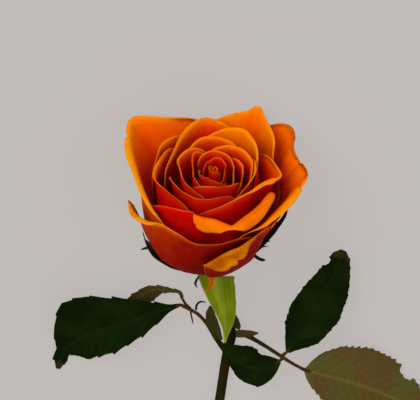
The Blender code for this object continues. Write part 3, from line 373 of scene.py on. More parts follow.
# how much of the underside's look a blade's top and bottom face take, where it isn't all and none
BLADE_UNDERSIDES = {"leaflet_right_terminal": (0.0, 1.0), "leaflet_left_side": (0.5, 0.5)}
BLADE_SLOTS = {"sepal_front": "sepal_bright", "leaflet_right_terminal": "leaf_underside"}

# sRGB colours along the petals' scale of warmth; the darkest, at the low end, are partly painted shade
INNER_COLOURS = ((0.0, (100, 0, 0)), (0.2, (164, 0, 0)), (0.4, (206, 2, 0)), (0.55, (220, 30, 0)),
                 (0.7, (234, 72, 0)), (0.85, (248, 112, 0)), (1.0, (255, 154, 6)))
BACK_COLOURS = ((0.0, (80, 0, 0)), (0.2, (146, 0, 0)), (0.4, (198, 4, 0)), (0.55, (206, 40, 0)),
                (0.7, (210, 76, 4)), (0.85, (226, 108, 6)), (1.0, (242, 148, 18)))
FLAP_COLOURS = ((0.0, (90, 4, 0)), (0.4, (140, 16, 0)), (0.7, (164, 60, 0)), (0.85, (180, 88, 0)),
                (0.94, (214, 124, 2)), (1.0, (238, 146, 14)))
# darker back colours for the front guard petals: partly their own maroon, partly painted shade
OUTSIDE_AND_SHADE_COLOURS = ((0.0, (84, 4, 0)), (0.2, (112, 8, 0)), (0.4, (138, 14, 0)), (0.55, (160, 34, 0)),
                   (0.7, (184, 60, 2)), (0.85, (226, 104, 6)), (1.0, (250, 150, 20)))
# the pale petal edge: partly the rims' own paler colour, partly a painted rim highlight
RIM_PALE_AND_HIGHLIGHT_COLOUR = (248, 132, 24)
RIM_PALE_AND_HIGHLIGHT_WIDTH = 0.9               # width over which a petal's edge pales, in mm


def through(points, count):
    """Even samples of the smooth curve that passes through the points."""
    points = np.array(points, dtype=float)
    steps = np.linalg.norm(np.diff(points, axis=0), axis=1)
    knots = np.concatenate([[0.0], np.cumsum(np.sqrt(steps))])
    slopes = np.gradient(points, knots, axis=0)
    fine = np.linspace(0.0, knots[-1], 40 * len(points))
    index = np.clip(np.searchsorted(knots, fine, side="right") - 1, 0, len(knots) - 2)
    width = (knots[index + 1] - knots[index])[:, None]
    t = ((fine - knots[index])[:, None]) / width
    curve = ((2 * t**3 - 3 * t**2 + 1) * points[index] + (t**3 - 2 * t**2 + t) * width * slopes[index]
             + (3 * t**2 - 2 * t**3) * points[index + 1] + (t**3 - t**2) * width * slopes[index + 1])
    travelled = np.concatenate([[0.0], np.cumsum(np.linalg.norm(np.diff(curve, axis=0), axis=1))])
    wanted = np.linspace(0.0, travelled[-1], count)
    return np.stack([np.interp(wanted, travelled, curve[:, axis]) for axis in range(points.shape[1])],
                    axis=1)


def unit(vectors):
    return vectors / np.maximum(np.linalg.norm(vectors, axis=-1, keepdims=True), 1e-9)


def ring_angles(count):
    return np.linspace(0.0, 2 * math.pi, count, endpoint=False)


def cup_share(height_share):
    """How far the wall of a cup has spread at a share of its height: broad foot, upright rim."""
    return 1.0 - (1.0 - np.clip(height_share, 0.0, 1.0) ** 1.1) ** 3


def smooth_step(value):
    value = np.clip(value, 0.0, 1.0)
    return value * value * (3.0 - 2.0 * value)


def petal_body(foot_azimuth, foot_radius, cup_radius, flare, rim, rows):
    """Rows of points from the foot of a petal to its rim, in azimuth, radius and height."""
    share = np.linspace(0.0, 1.0, rows)[:, None] ** 1.15
    rim_azimuth, rim_radius, rim_height = rim[None, :, 0], rim[None, :, 1], rim[None, :, 2]
    height = CLAW_HEIGHT + (rim_height - CLAW_HEIGHT) * share
    wall = np.minimum(cup_radius, rim_radius - flare) - foot_radius
    lean = rim_radius - foot_radius - wall * cup_share(rim_height / CUP_HEIGHT)
    radius = foot_radius + wall * cup_share(height / CUP_HEIGHT) + lean * share**4
    spread = CLAW_SPREAD + (1.0 - CLAW_SPREAD) * smooth_step(share / 0.5)
    azimuth = foot_azimuth + (rim_azimuth - foot_azimuth) * spread
    return azimuth + 0.0 * height, radius, height


def from_polar(azimuth, radius, height):
    """Azimuth, radius and height as x, y and z around the bloom's upright axis."""
    angle = np.radians(azimuth)
    return np.stack([radius * np.cos(angle), radius * np.sin(angle), height + 0.0 * angle], axis=-1)


def add_lip(body, lip_width, bend_radius, bend_angle, rows):
    """Rows past the rim that bend outward and back, as wide as the lip at each place."""
    rim = body[-1]
    along_rim = unit(np.gradient(rim, axis=0))
    rising = unit(rim - body[-2])
    onward = unit(rising - (rising * along_rim).sum(axis=1, keepdims=True) * along_rim)
    outward = unit(np.cross(along_rim, onward))
    outward = outward * np.sign((outward * rim * LEVEL).sum())
    turn = math.radians(bend_angle)
    for row in range(1, rows + 1):
        distance = lip_width * row / rows
        angle = np.minimum(distance / bend_radius, turn)
        straight = np.maximum(distance - bend_radius * turn, 0.0)
        forward = bend_radius * np.sin(angle) + straight * math.cos(turn)
        aside = bend_radius * (1.0 - np.cos(angle)) + straight * math.sin(turn)
        body = np.concatenate([body, (rim + forward[:, None] * onward + aside[:, None] * outward)[None]])
    return body


class Layers:
    """What the petals placed so far fill, seen from the bloom's axis, as in the model.

    Radii are held as shares between an inner and an outer cup, so that a sloping wall is level here.
    """

    def __init__(self):
        self.filled = np.full((360 // AZIMUTH_CELL, HEIGHT_CELLS), -1.0)

    @staticmethod
    def inner(height):
        return 0.5 + 0.4 * cup_share(height / CUP_HEIGHT)

    @staticmethod
    def outer(height):
        return CUP_FOOT_RADIUS + (CUP_RADIUS - CUP_FOOT_RADIUS) * cup_share(height / CUP_HEIGHT)

    @staticmethod
    def spacing(height):
        """Radial distance between layers: closest at the foot, widest where the wall slopes most."""
        above_foot = 0.85 + 0.55 * smooth_step(height / 4.0)
        return LAYER_GAP * (above_foot - 0.4 * smooth_step((height - 6.0) / 22.0))

    def cells(self, points):
        azimuth = np.degrees(np.arctan2(points[..., 1], points[..., 0])) % 360.0
        column = np.floor(azimuth / AZIMUTH_CELL).astype(int) % self.filled.shape[0]
        row = np.clip(np.floor(points[..., 2]).astype(int) - HEIGHT_FLOOR, 0, HEIGHT_CELLS - 1)
        radius = np.hypot(points[..., 0], points[..., 1])
        span = self.outer(points[..., 2]) - self.inner(points[..., 2])
        return column, row, (radius - self.inner(points[..., 2])) / span, span

    def add(self, grid):
        column, row, share, _span = self.cells(subdivided(grid, 6))
        np.maximum.at(self.filled, (column, row), share)

    def push(self, grid):
        """How far each point of the grid has to move from the axis to clear all that is placed already."""
        reach = self.filled.copy()
        for shift in (-1, 1):
            reach = np.maximum(reach, np.roll(self.filled, shift, axis=0))
        for shift in (-1, 1):
            reach = np.maximum(reach, np.roll(reach, shift, axis=1))
        detail = 4
        fine = subdivided(grid, detail)
        column, row, share, span = self.cells(fine)
        needed = reach[column, row] + self.spacing(fine[..., 2]) / span - share
        needed = np.where(reach[column, row] < 0.0, 0.0, np.maximum(needed, 0.0))
        push = np.zeros(grid.shape[:2])
        for i in range(grid.shape[0]):
            for j in range(grid.shape[1]):
                rows = slice(max(0, i * detail - detail // 2), i * detail + detail // 2 + 1)
                columns = slice(max(0, j * detail - detail // 2), j * detail + detail // 2 + 1)
                push[i, j] = needed[rows, columns].max()
        for _pass in range(3):
            wide = np.pad(push, 1, mode="edge")
            blurred = (wide[:-2, 1:-1] + wide[2:, 1:-1] + wide[1:-1, :-2] + wide[1:-1, 2:]) / 4.0
            push = np.maximum(push, blurred)
        return push * self.cells(grid)[3]


def subdivided(grid, detail):
    """The same surface with each cell split evenly."""
    rows = np.linspace(0, grid.shape[0] - 1, (grid.shape[0] - 1) * detail + 1)
    columns = np.linspace(0, grid.shape[1] - 1, (grid.shape[1] - 1) * detail + 1)
    low = np.minimum(rows.astype(int), grid.shape[0] - 2)
    part = (rows - low)[:, None, None]
    tall = grid[low] * (1 - part) + grid[low + 1] * part
    low = np.minimum(columns.astype(int), grid.shape[1] - 2)
    part = (columns - low)[None, :, None]
    return tall[:, low] * (1 - part) + tall[:, low + 1] * part


def moved_out(grid, distance):
    """The grid moved away from the bloom's axis."""
    radius = np.maximum(np.hypot(grid[..., 0], grid[..., 1]), 1e-6)
    scale = 1.0 + distance / radius
    return grid * np.stack([scale, scale, np.ones_like(scale)], axis=-1)


def smooth_rows(values, places):
    """Values read between the rows of an array, along a smooth curve through them."""
    last = len(values) - 1
    low = np.clip(np.floor(places).astype(int), 0, last - 1)
    t = (places - low)[:, None]
    before, here, there, after = (values[np.clip(low + step, 0, last)] for step in (-1, 0, 1, 2))
    return here + 0.5 * t * (there - before + t * (2 * before - 5 * here + 4 * there - after
                                                   + t * (3 * (here - there) + after - before)))


def smooth_between(values, rows, columns):
    return np.maximum(smooth_rows(smooth_rows(values, rows).T, columns).T, 0.0)


def swell(position, seed, *frequencies):
    """A smooth uneven line around zero, the same for the same seed."""
    total = 0.0
    for number, frequency in enumerate(frequencies):
        phase = math.sin(12.9898 * seed + 78.233 * (number + 1)) * 43.7
        total = total + np.sin(2 * math.pi * (frequency * position + phase)) / (1.0 + 0.7 * number)
    return total


def of_family(table, name):
    """The entry of a table whose key is the longest start of the name."""
    return table[max((key for key in table if name.startswith(key)), key=len)]


def petal_grids(petal, number, layers):
    """The fine surface of a petal, from foot to lip, clear of the layers inside it, and its lip's width."""
    name, foot_azimuth, foot_radius, cup_radius, flare, bend_radius, bend_angle, rim_points = petal
    coarse_lip_rows = 1 if max(point[3] for point in rim_points) < 2.0 else 2
    coarse_columns = 9 if len(rim_points) < 8 else min(15, 2 * len(rim_points) - 5)
    rim = through(rim_points, coarse_columns)
    body = from_polar(*petal_body(foot_azimuth, foot_radius, cup_radius, flare, rim, COARSE_ROWS))
    coarse = add_lip(body, rim[:, 3], bend_radius, bend_angle, coarse_lip_rows)
    push = layers.push(coarse)
    layers.add(moved_out(coarse, push))

    place = np.linspace(0.0, 1.0, RIM_COLUMNS)
    rim_ruffle, face_swell = of_family(RUFFLES, name)
    rim = through(rim_points, RIM_COLUMNS)
    rim[:, 2] += 0.4 * rim_ruffle * swell(place, number, 1.7, 3.6, 6.3)
    rim[:, 1] += 0.3 * rim_ruffle * swell(place, number + 0.5, 2.1, 4.4)
    rim[:, 3] *= 1.0 + 0.06 * swell(place, number + 0.2, 2.7, 5.3)
    rim[:, 3] += of_family(LIP_GAIN, name) * smooth_step(np.minimum(place, 1.0 - place) / 0.08)
    for nicked, share, half_width, depth in NICKS:
        if nicked == name:
            nick = depth * np.clip(1.0 - np.abs(place - share) / half_width, 0.0, 1.0)
            rim[:, 3] = np.maximum(rim[:, 3] - nick, 0.2)
            rim[:, 2] -= np.maximum(nick - rim[:, 3] * 0.5, 0.0)
    body = from_polar(*petal_body(foot_azimuth, foot_radius, cup_radius, flare, rim, BODY_ROWS))
    grid = add_lip(body, rim[:, 3], bend_radius, bend_angle, LIP_ROWS)
    rows = np.concatenate([np.linspace(0, COARSE_ROWS - 1, BODY_ROWS),
                           COARSE_ROWS - 1 + np.linspace(0, coarse_lip_rows, LIP_ROWS + 1)[1:]])
    push = smooth_between(push, rows, place * (coarse_columns - 1))
    share = np.linspace(0.0, 1.0, len(grid))[:, None]
    ribs = 0.5 + 0.25 * swell(place[None, :] + 0.05 * share, number + 0.7, 2.0, 4.6)
    return moved_out(grid, push + face_swell * ribs * smooth_step(share * 1.3 - 0.2)), rim[:, 3]


def running_length(grid, axis):
    steps = np.linalg.norm(np.diff(grid, axis=axis), axis=-1)
    return np.concatenate([np.zeros_like(np.take(steps, [0], axis=axis)), np.cumsum(steps, axis=axis)],
                          axis=axis)


def from_edges(grid):
    """Distance of each point to the rim along its column, to the nearest free edge, and from the foot."""
    upward = running_length(grid, 0)
    sideways = running_length(grid, 1)
    to_rim = upward[-1:] - upward
    to_side = np.minimum(sideways, sideways[:, -1:] - sideways)
    return to_rim, np.minimum(to_rim, to_side), upward


def sheet_normals(grid):
    return unit(np.cross(np.gradient(grid, axis=1), np.gradient(grid, axis=0)))


def sheet_place(upward, start, end, layer=0.0):
    """Where each point of a sheet is, across and along it, for noise that follows the sheet."""
    across = np.linspace(start, end, upward.shape[1])[None, :]
    return np.stack([across + 0 * upward, upward, 0 * upward + layer], axis=-1)


def keep_values(mesh, name, values):
    """Keep a value at each point of a mesh, for its material to read."""
    values = np.asarray(values, dtype=np.float32)
    mesh.attributes.new(name, "FLOAT", "POINT").data.foreach_set("value", values)


def sheet_mesh(name, grid, thickness, flip, place, values):
    """A closed sheet around the grid that thins towards its edges, with values kept at its points.

    values holds, for each name, the values on the first and on the second face.
    """
    normal = sheet_normals(grid) * (-1.0 if flip else 1.0)
    rows, columns = grid.shape[:2]
    count = rows * columns
    half = (thickness / 2)[..., None]
    first, second = grid + normal * half, grid - normal * half
    index = np.arange(count).reshape(rows, columns)
    a, b, c, d = index[:-1, :-1], index[:-1, 1:], index[1:, 1:], index[1:, :-1]
    quads = np.stack([a, b, c, d], axis=-1).reshape(-1, 4)
    backs = quads[:, ::-1] + count
    edge = np.concatenate([index[0, :-1], index[:-1, -1], index[-1, :0:-1], index[:0:-1, 0]])
    after = np.roll(edge, -1)
    sides = np.stack([edge, edge + count, after + count, after], axis=-1)
    faces = np.concatenate([quads, backs, sides])
    if flip:
        faces = faces[:, ::-1]
    mesh = bpy.data.meshes.new(name)
    mesh.from_pydata(placed(np.concatenate([first.reshape(-1, 3), second.reshape(-1, 3)])).tolist(), [],
                     faces.tolist())
    mesh.shade_smooth()
    for key, on_faces in values.items():
        both = [np.broadcast_to(on_face, (rows, columns)).ravel() for on_face in on_faces]
        keep_values(mesh, key, np.concatenate(both))
    spots = np.concatenate([place.reshape(-1, 3), place.reshape(-1, 3)]).astype(np.float32)
    mesh.attributes.new("place", "FLOAT_VECTOR", "POINT").data.foreach_set("vector", spots.ravel())
    return mesh


def from_bloom(grid):
    """Bloom coordinates to rose coordinates: the axis leans to its rise above the floor."""
    lean = math.radians(BLOOM_RISE - 90.0)
    x, y, z = grid[..., 0], grid[..., 1], grid[..., 2]
    return np.stack([x, y * math.cos(lean) - z * math.sin(lean),
                     y * math.sin(lean) + z * math.cos(lean) + FOOT_HEIGHT], axis=-1)


def lathe(profile, sides):
    angles = ring_angles(sides)
    profile = np.array(profile)
    return np.stack([profile[:, None, 0] * np.cos(angles), profile[:, None, 0] * np.sin(angles),
                     profile[:, None, 1] + 0.0 * angles], axis=-1)


# rose coordinates start at the foot of the bloom's axis: where that is comes from the model's hip
MODEL_HIP = from_bloom(lathe(HIP_PROFILE, 20)).reshape(-1, 3)
ROSE_SHIFT = np.array(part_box("hip")[0]) / MM - MODEL_HIP.min(axis=0)


def placed(points):
    """Rose coordinates in millimetres to the frame's metres."""
    return (points + ROSE_SHIFT) * MM


def add_object(name, data):
    item = bpy.data.objects.new(name, data)
    bpy.context.scene.collection.objects.link(item)
    return item


def piece_from(mesh, skin, slot_name, *nodes):
    """An object of the rose in the given material, standing for the given nodes."""
    mesh.materials.append(skin)
    piece = add_object(mesh.name, mesh)
    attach(piece, BODY)
    if nodes:
        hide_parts(*nodes)


def blade_grid(midrib, left_widths, right_widths, fold, up, rows, offsets, margin=None):
    """A leaf-like surface on both sides of a midrib; fold lifts its margins towards up.

    margin gives, for a side and the shares along the midrib, what the margin gains or loses in width.
    """
    spine = through(midrib, rows)
    forward = unit(np.gradient(spine, axis=0))
    side = unit(np.cross(np.broadcast_to(up, forward.shape), forward))
    top = unit(np.cross(forward, side))
    share = np.linspace(0.0, 1.0, rows)
    lift = math.tan(math.radians(fold))
    columns = []
    for offset in offsets:
        table = np.array(left_widths if offset > 0 else right_widths)
        width = np.interp(share, table[:, 0], table[:, 1]) * abs(offset)
        reach = width.copy()
        if margin is not None:
            reach = np.maximum(width + margin(np.sign(offset), share) * abs(offset) ** 6, 0.1 * abs(offset))
        columns.append(spine + (np.sign(offset) * reach)[:, None] * side + (width * lift)[:, None] * top)
    return np.stack(columns, axis=1), top


def leaf_margin(name):
    """The saw teeth and the bites of one leaflet's margins."""
    teeth, depth = TEETH.get(name, (0, 0.0))

    def gain(side, share):
        saw = (share * teeth + 0.37 * side) % 1.0
        fade = smooth_step(share / 0.18) * smooth_step((1.0 - share) / 0.06)
        uneven = 0.75 + 0.25 * np.sin(share * 23.0 + side)
        total = depth * (saw**2 - 0.45) * fade * uneven
        for bitten, on_side, centre, half_width, deep in BITES:
            if bitten == name and on_side == side:
                away = (share - centre) / half_width
                total = total - deep * np.sqrt(np.clip(1.0 - away**2, 0.0, 1.0))
        return total
    return gain


def leaf_veins(grid, spacing):
    """How close each point is to a midrib or a side vein, and the swelling between side veins."""
    middle = grid.shape[1] // 2
    travelled = running_length(grid[:, middle:middle + 1], 0)
    aside = np.linalg.norm(grid - grid[:, middle:middle + 1], axis=-1)
    half_width = np.maximum(aside.max(axis=1, keepdims=True), 0.5)
    phase = (travelled - 0.85 * aside - 0.018 * aside**2) / spacing
    fade = 1.0 - np.clip(aside / half_width, 0.0, 1.0) ** 3
    side_vein = (0.5 + 0.5 * np.cos(2 * math.pi * phase)) ** 14 * fade
    midrib = np.exp(-(aside / 0.42) ** 2)
    between = (0.5 - 0.5 * np.cos(2 * math.pi * phase)) * fade * smooth_step(aside / 3.0)
    return np.clip(midrib + 0.6 * side_vein, 0.0, 1.0), between


def tube_frame(course, rings):
    """Centres, directions (forward, sideways, up) and radii along a smooth course of (x, y, z, radius)."""
    path = through(course, rings)
    centre = path[:, :3]
    forward = unit(np.gradient(centre, axis=0))
    side = unit(np.cross(forward, UP))
    top = np.cross(side, forward)
    return centre, forward, side, top, path[:, 3]


def tube_rings(course, rings, sides, unevenness=0.0):
    """Rings of points around a smooth course of (x, y, z, radius)."""
    centre, forward, side, top, radius = tube_frame(course, rings)
    angles = ring_angles(sides)
    ring = np.cos(angles)[None, :, None] * side[:, None] + np.sin(angles)[None, :, None] * top[:, None]
    along = np.linspace(0.0, 1.0, rings)[:, None]
    bumps = np.cos(5 * angles[None, :] + 9 * along) + swell(along, 3.0, 6.0, 14.0, 31.0)
    uneven = 1.0 + unevenness * bumps
    return centre[:, None] + ring * (radius[:, None] * uneven)[..., None]


def tube_mesh(name, rings, values=None):
    """A closed tube through the rings, with an end point at each end."""
    count, sides = rings.shape[:2]
    points = np.concatenate([rings.reshape(-1, 3), rings[0].mean(axis=0)[None],
                             rings[-1].mean(axis=0)[None]])
    index = np.arange(count * sides).reshape(count, sides)
    around = np.roll(index, -1, axis=1)
    faces = np.stack([index[:-1], index[1:], around[1:], around[:-1]], axis=-1).reshape(-1, 4).tolist()
    first, last = count * sides, count * sides + 1
    faces += [(first, int(here), int(there)) for here, there in zip(index[0], around[0])]
    faces += [(last, int(there), int(here)) for here, there in zip(index[-1], around[-1])]
    mesh = bpy.data.meshes.new(name)
    mesh.from_pydata(placed(points).tolist(), [], faces)
    mesh.shade_smooth()
    for key, per_ring in (values or {}).items():
        keep_values(mesh, key, np.concatenate([np.repeat(per_ring, sides), [per_ring[0], per_ring[-1]]]))
    return mesh


def linear(colour):
    """An sRGB colour of 0 to 255 as linear light."""
    shares = [value / 255.0 for value in colour]
    return (*[s / 12.92 if s <= 0.04045 else ((s + 0.055) / 1.055) ** 2.4 for s in shares], 1.0)


class Shader:
    """A Principled material whose nodes are added one by one."""

    def __init__(self, name, roughness, specular, **uniform):
        self.material = bpy.data.materials.new(name)
        self.material.use_nodes = True
        self.tree = self.material.node_tree
        self.principled = self.tree.nodes["Principled BSDF"]
        self.link(roughness, self.principled, "Roughness")
        self.link(specular, self.principled, "Specular IOR Level")
        for key, value in uniform.items():
            self.link(value, self.principled, key.replace("_", " "))

    def link(self, source, node, socket):
        """Feed a socket from another node's output, or give it a plain value."""
        if hasattr(source, "links"):
            self.tree.links.new(source, node.inputs[socket])
        else:
            node.inputs[socket].default_value = source

    def node(self, kind, **inputs):
        node = self.tree.nodes.new("ShaderNode" + kind)
        for key, source in inputs.items():
            self.link(source, node, key.replace("_", " "))
        return node

    def value(self, name, output="Fac"):
        node = self.node("Attribute")
        node.attribute_name = name
        return node.outputs[output]

    def noise(self, scale, detail, stretch=(1, 1, 1), place=False):
        """Noise in the object's metres, or in the place along and across a sheet."""
        source = self.value("place", "Vector") if place else self.node("TexCoord").outputs["Object"]
        stretched = self.node("Mapping", Vector=source, Scale=stretch).outputs["Vector"]
        return self.node("TexNoise", Vector=stretched, Scale=scale, Detail=detail).outputs["Fac"]

    def math(self, operation, first, second):
        node = self.node("Math")
        node.operation = operation
        self.link(first, node, 0)
        self.link(second, node, 1)
        return node.outputs["Value"]

    def plus(self, first, second):
        return self.math("ADD", first, second)

    def times(self, first, second):
        return self.math("MULTIPLY", first, second)

    def around_zero(self, source, amount):
        return self.times(self.math("SUBTRACT", source, 0.5), amount)

    def between(self, source, low, high):
        """0 at low, 1 at high, smooth in between; low may be the larger."""
        start, end = (0.0, 1.0) if low < high else (1.0, 0.0)
        node = self.node("MapRange", From_Min=min(low, high), From_Max=max(low, high), To_Min=start,
                         To_Max=end)
        node.interpolation_type = "SMOOTHSTEP"
        self.link(source, node, "Value")
        return node.outputs["Result"]

    def ramp(self, source, stops):
        node = self.node("ValToRGB", Fac=source)
        elements = node.color_ramp.elements
        while len(elements) < len(stops):
            elements.new(0.5)
        for element, (position, colour) in zip(elements, stops):
            element.position = position
            element.color = linear(colour)
        return node.outputs["Color"]

    def mix(self, share, first, second):
        node = self.node("Mix")
        node.data_type = "RGBA"
        self.link(share, node, 0)
        for socket, source in ((6, first), (7, second)):
            self.link(linear(source) if isinstance(source, tuple) else source, node, socket)
        return node.outputs[2]

    def bump(self, height, depth, strength):
        node = self.node("Bump", Height=height, Distance=depth, Strength=strength)
        self.link(node.outputs["Normal"], self.principled, "Normal")

    def finish(self, colour):
        self.link(colour, self.principled, "Base Color")
        return self.material


def petal_material(name, mottling, inner_colours, back_colours):
    """Orange petal flesh: redder and darker away from the rim (partly painted shade deep in the bloom),
    streaked along its veins, velvety.
    """
    shader = Shader(name, 0.55, 0.01, Subsurface_Weight=0.12, Subsurface_Scale=0.0008,
                    Subsurface_Radius=(1.0, 0.25, 0.05))
    patches = shader.noise(160.0, 3.0)
    streaks = shader.noise(1.0, 4.0, (0.9, 0.035, 1.0), place=True)
    veins = shader.noise(1.0, 3.0, (2.6, 0.09, 1.0), place=True)
    # the kept warmth: its low values, deep in the bloom, give a dark red that is partly painted shade
    warmth_and_shade = shader.plus(shader.value("warmth_and_shade"), shader.around_zero(patches, mottling))
    warmth_and_shade = shader.plus(warmth_and_shade, shader.around_zero(streaks, 0.09))
    warmth_and_shade = shader.plus(warmth_and_shade, shader.around_zero(veins, 0.04))
    colour = shader.mix(shader.value("back"), shader.ramp(warmth_and_shade, inner_colours),
                        shader.ramp(warmth_and_shade, back_colours))
    # the pale edge line: partly the rim's own paler colour, partly a painted rim highlight
    line = shader.times(shader.between(shader.value("edge"), RIM_PALE_AND_HIGHLIGHT_WIDTH, 0.0), 0.35)
    colour = shader.mix(line, colour, RIM_PALE_AND_HIGHLIGHT_COLOUR)
    specks = shader.between(shader.noise(620.0, 1.0), 0.74, 0.84)
    near_rim = shader.between(shader.value("edge"), 7.0, 1.0)
    colour = shader.mix(shader.times(shader.times(specks, near_rim), 0.6), colour, (120, 44, 0))
    height = shader.plus(veins, shader.times(shader.noise(1400.0, 2.0), 0.25))
    shader.bump(height, 0.00016, 0.4)
    return shader.finish(colour)


def leaf_material(name, top_dark, top_light, top_vein, under_dark, under_light, under_vein):
    """A leaf with a dark top and a paler underside, both veined, in one finish; age browns it."""
    shader = Shader(name, 0.5, 0.02)
    patches = shader.noise(90.0, 4.0)
    grain = shader.noise(900.0, 3.0)
    vein = shader.value("vein")
    tone = shader.between(patches, 0.35, 0.68)
    top = shader.mix(tone, top_dark, top_light)
    top = shader.mix(shader.times(vein, 0.55), top, top_vein)
    under = shader.mix(tone, under_dark, under_light)
    under = shader.mix(shader.times(vein, 0.5), under, under_vein)
    colour = shader.mix(shader.value("back"), top, under)
    aged = shader.times(shader.value("age"), shader.between(patches, 0.3, 0.6))
    colour = shader.mix(aged, colour, (74, 52, 22))
    height = shader.plus(shader.times(vein, 0.5), shader.times(grain, 0.3))
    shader.bump(height, 0.00025, 0.5)
    return shader.finish(colour)


def sepal_material(name, dark, light, midrib_and_highlight, edge_colour):
    """A sepal: streaked along its length, paler along the middle (on the front sepal a painted highlight
    along its ridge) and at its thin edge.
    """
    shader = Shader(name, 0.5, 0.02, Subsurface_Weight=0.05, Subsurface_Scale=0.0008)
    streaks = shader.noise(1.0, 3.0, (0.14, 0.04, 1.0), place=True)
    patches = shader.noise(130.0, 3.0)
    tone = shader.between(shader.plus(streaks, shader.around_zero(patches, 0.7)), 0.2, 0.8)
    colour = shader.mix(tone, dark, light)
    colour = shader.mix(shader.times(shader.value("vein"), 0.7), colour, midrib_and_highlight)
    line = shader.times(shader.between(shader.value("edge"), 0.7, 0.1), 0.6)
    colour = shader.mix(line, colour, edge_colour)
    shader.bump(shader.plus(streaks, shader.times(shader.noise(1200.0, 2.0), 0.3)), 0.0002, 0.3)
    return shader.finish(colour)


def bark_material(name, dark, light, flush, cut=False):
    """Green bark with streaks along the stem, a red-brown flush and small pale spots."""
    shader = Shader(name, 0.5, 0.02)
    streaks = shader.noise(500.0, 4.0, (1.0, 0.06, 1.0))
    patches = shader.noise(40.0, 3.0)
    colour = shader.mix(shader.between(streaks, 0.35, 0.65), dark, light)
    colour = shader.mix(shader.times(shader.between(patches, 0.45, 0.65), 0.6), colour, flush)
    spots = shader.between(shader.noise(900.0, 1.0, (1.0, 0.5, 1.0)), 0.70, 0.76)
    colour = shader.mix(shader.times(spots, 0.25), colour, (84, 78, 36))
    if cut:
        inside = shader.value("cut")
        wood = shader.ramp(inside, ((0.0, (96, 104, 40)), (0.30, (172, 176, 110)), (0.5, (196, 190, 140)),
                                    (0.62, (222, 214, 176)), (1.0, (230, 222, 188))))
        colour = shader.mix(shader.between(inside, 0.02, 0.08), colour, wood)
    shader.bump(shader.plus(streaks, shader.times(shader.noise(1500.0, 2.0), 0.4)), 0.0002, 0.5)
    return shader.finish(colour)


def prickle_material():
    shader = Shader("prickle_horn", 0.38, 0.25)
    tone = shader.plus(shader.value("height"), shader.around_zero(shader.noise(900.0, 3.0), 0.3))
    colour = shader.ramp(tone, ((0.0, (70, 62, 22)), (0.3, (122, 62, 34)), (0.75, (110, 44, 28)),
                                (1.0, (48, 20, 14))))
    shader.bump(shader.noise(1600.0, 2.0), 0.0001, 0.4)
    return shader.finish(colour)


def build_petals(layers, skins):
    """The petals from the heart outwards, each clear of those inside it."""
    for number, petal in enumerate(PETALS):
        name = petal[0]
        grid, lip = petal_grids(petal, number, layers)
        to_rim, to_edge, upward = from_edges(grid)
        thickness = PETAL_SKIN * (0.35 + 0.65 * smooth_step(to_edge / EDGE_TAPER))
        inner_stops, back_stops, slant = of_family(FACE_WARMTH_AND_SHADE, name)
        # faces far below the fold get low warmth: dark red, partly painted shade deep in the bloom
        below_fold = to_rim - lip[None, :]
        inner_warmth_and_shade, back_warmth_and_shade = (np.interp(below_fold, *np.array(stops).T)
                                     for stops in (inner_stops, back_stops))
        across = np.linspace(0.0, 1.0, grid.shape[1])[None, :]
        # a negative slant darkens the back towards one side, partly as painted shade
        back_warmth_and_shade = back_warmth_and_shade + slant * smooth_step((across - 0.25) / 0.5)
        place = sheet_place(upward, 0.0, 100.0, 7.3 * number)
        values = {"warmth_and_shade": (inner_warmth_and_shade, back_warmth_and_shade), "back": (0.0, 1.0), "edge": (to_edge, to_edge)}
        middle = (BODY_ROWS // 2, RIM_COLUMNS // 2)
        faces_out = sheet_normals(grid)[middle] @ (grid[middle] * LEVEL) > 0.0
        mesh = sheet_mesh(name + "_fine", from_bloom(grid), thickness, faces_out, place, values)
        slot_name = "petal_outer" if name.startswith(("guard", "outer")) else "petal_heart"
        skin = "petal_front" if name.startswith("guard_petal_front") else slot_name
        piece_from(mesh, skins[skin], slot_name, name)


def sheet_values(grid, vein, age=0.0):
    """The values and the places kept at a leafy sheet's points, and how far each is from a free edge."""
    _to_rim, to_edge, upward = from_edges(grid)
    values = {"vein": (vein, vein), "edge": (to_edge, to_edge), "age": (age, age)}
    return values, sheet_place(upward, -50.0, 50.0), to_edge


def build_upright_sepals(layers, skin):
    coarse_offsets = (-1.0, -0.55, 0.0, 0.55, 1.0)
    coarse_rows, rows = 13, 110
    offsets = np.linspace(-1.0, 1.0, 17)
    for name, course, left, right in UPRIGHT_SEPALS:
        azimuth, radius, height = np.array(course, dtype=float).T
        spine = from_polar(azimuth, radius, height)
        out = unit(spine * LEVEL)
        up = out[len(out) // 2] * 0.6 - UP * 0.8
        coarse, _top = blade_grid(spine, left, right, 0.0, up, coarse_rows, coarse_offsets)
        push = layers.push(coarse)
        layers.add(moved_out(coarse, push))
        grid, _top = blade_grid(spine, left, right, 0.0, up, rows, offsets)
        columns = np.interp(offsets, coarse_offsets, np.arange(len(coarse_offsets)))
        grid = moved_out(grid, smooth_between(push, np.linspace(0, coarse_rows - 1, rows), columns))
        vein, _between = leaf_veins(grid, 5.0)
        values, place, to_edge = sheet_values(grid, vein)
        thickness = SEPAL_SKIN * (0.4 + 0.6 * smooth_step(to_edge / EDGE_TAPER))
        mesh = sheet_mesh(name + "_fine", from_bloom(grid), thickness, False, place, values)
        piece_from(mesh, skin, "sepal", name)


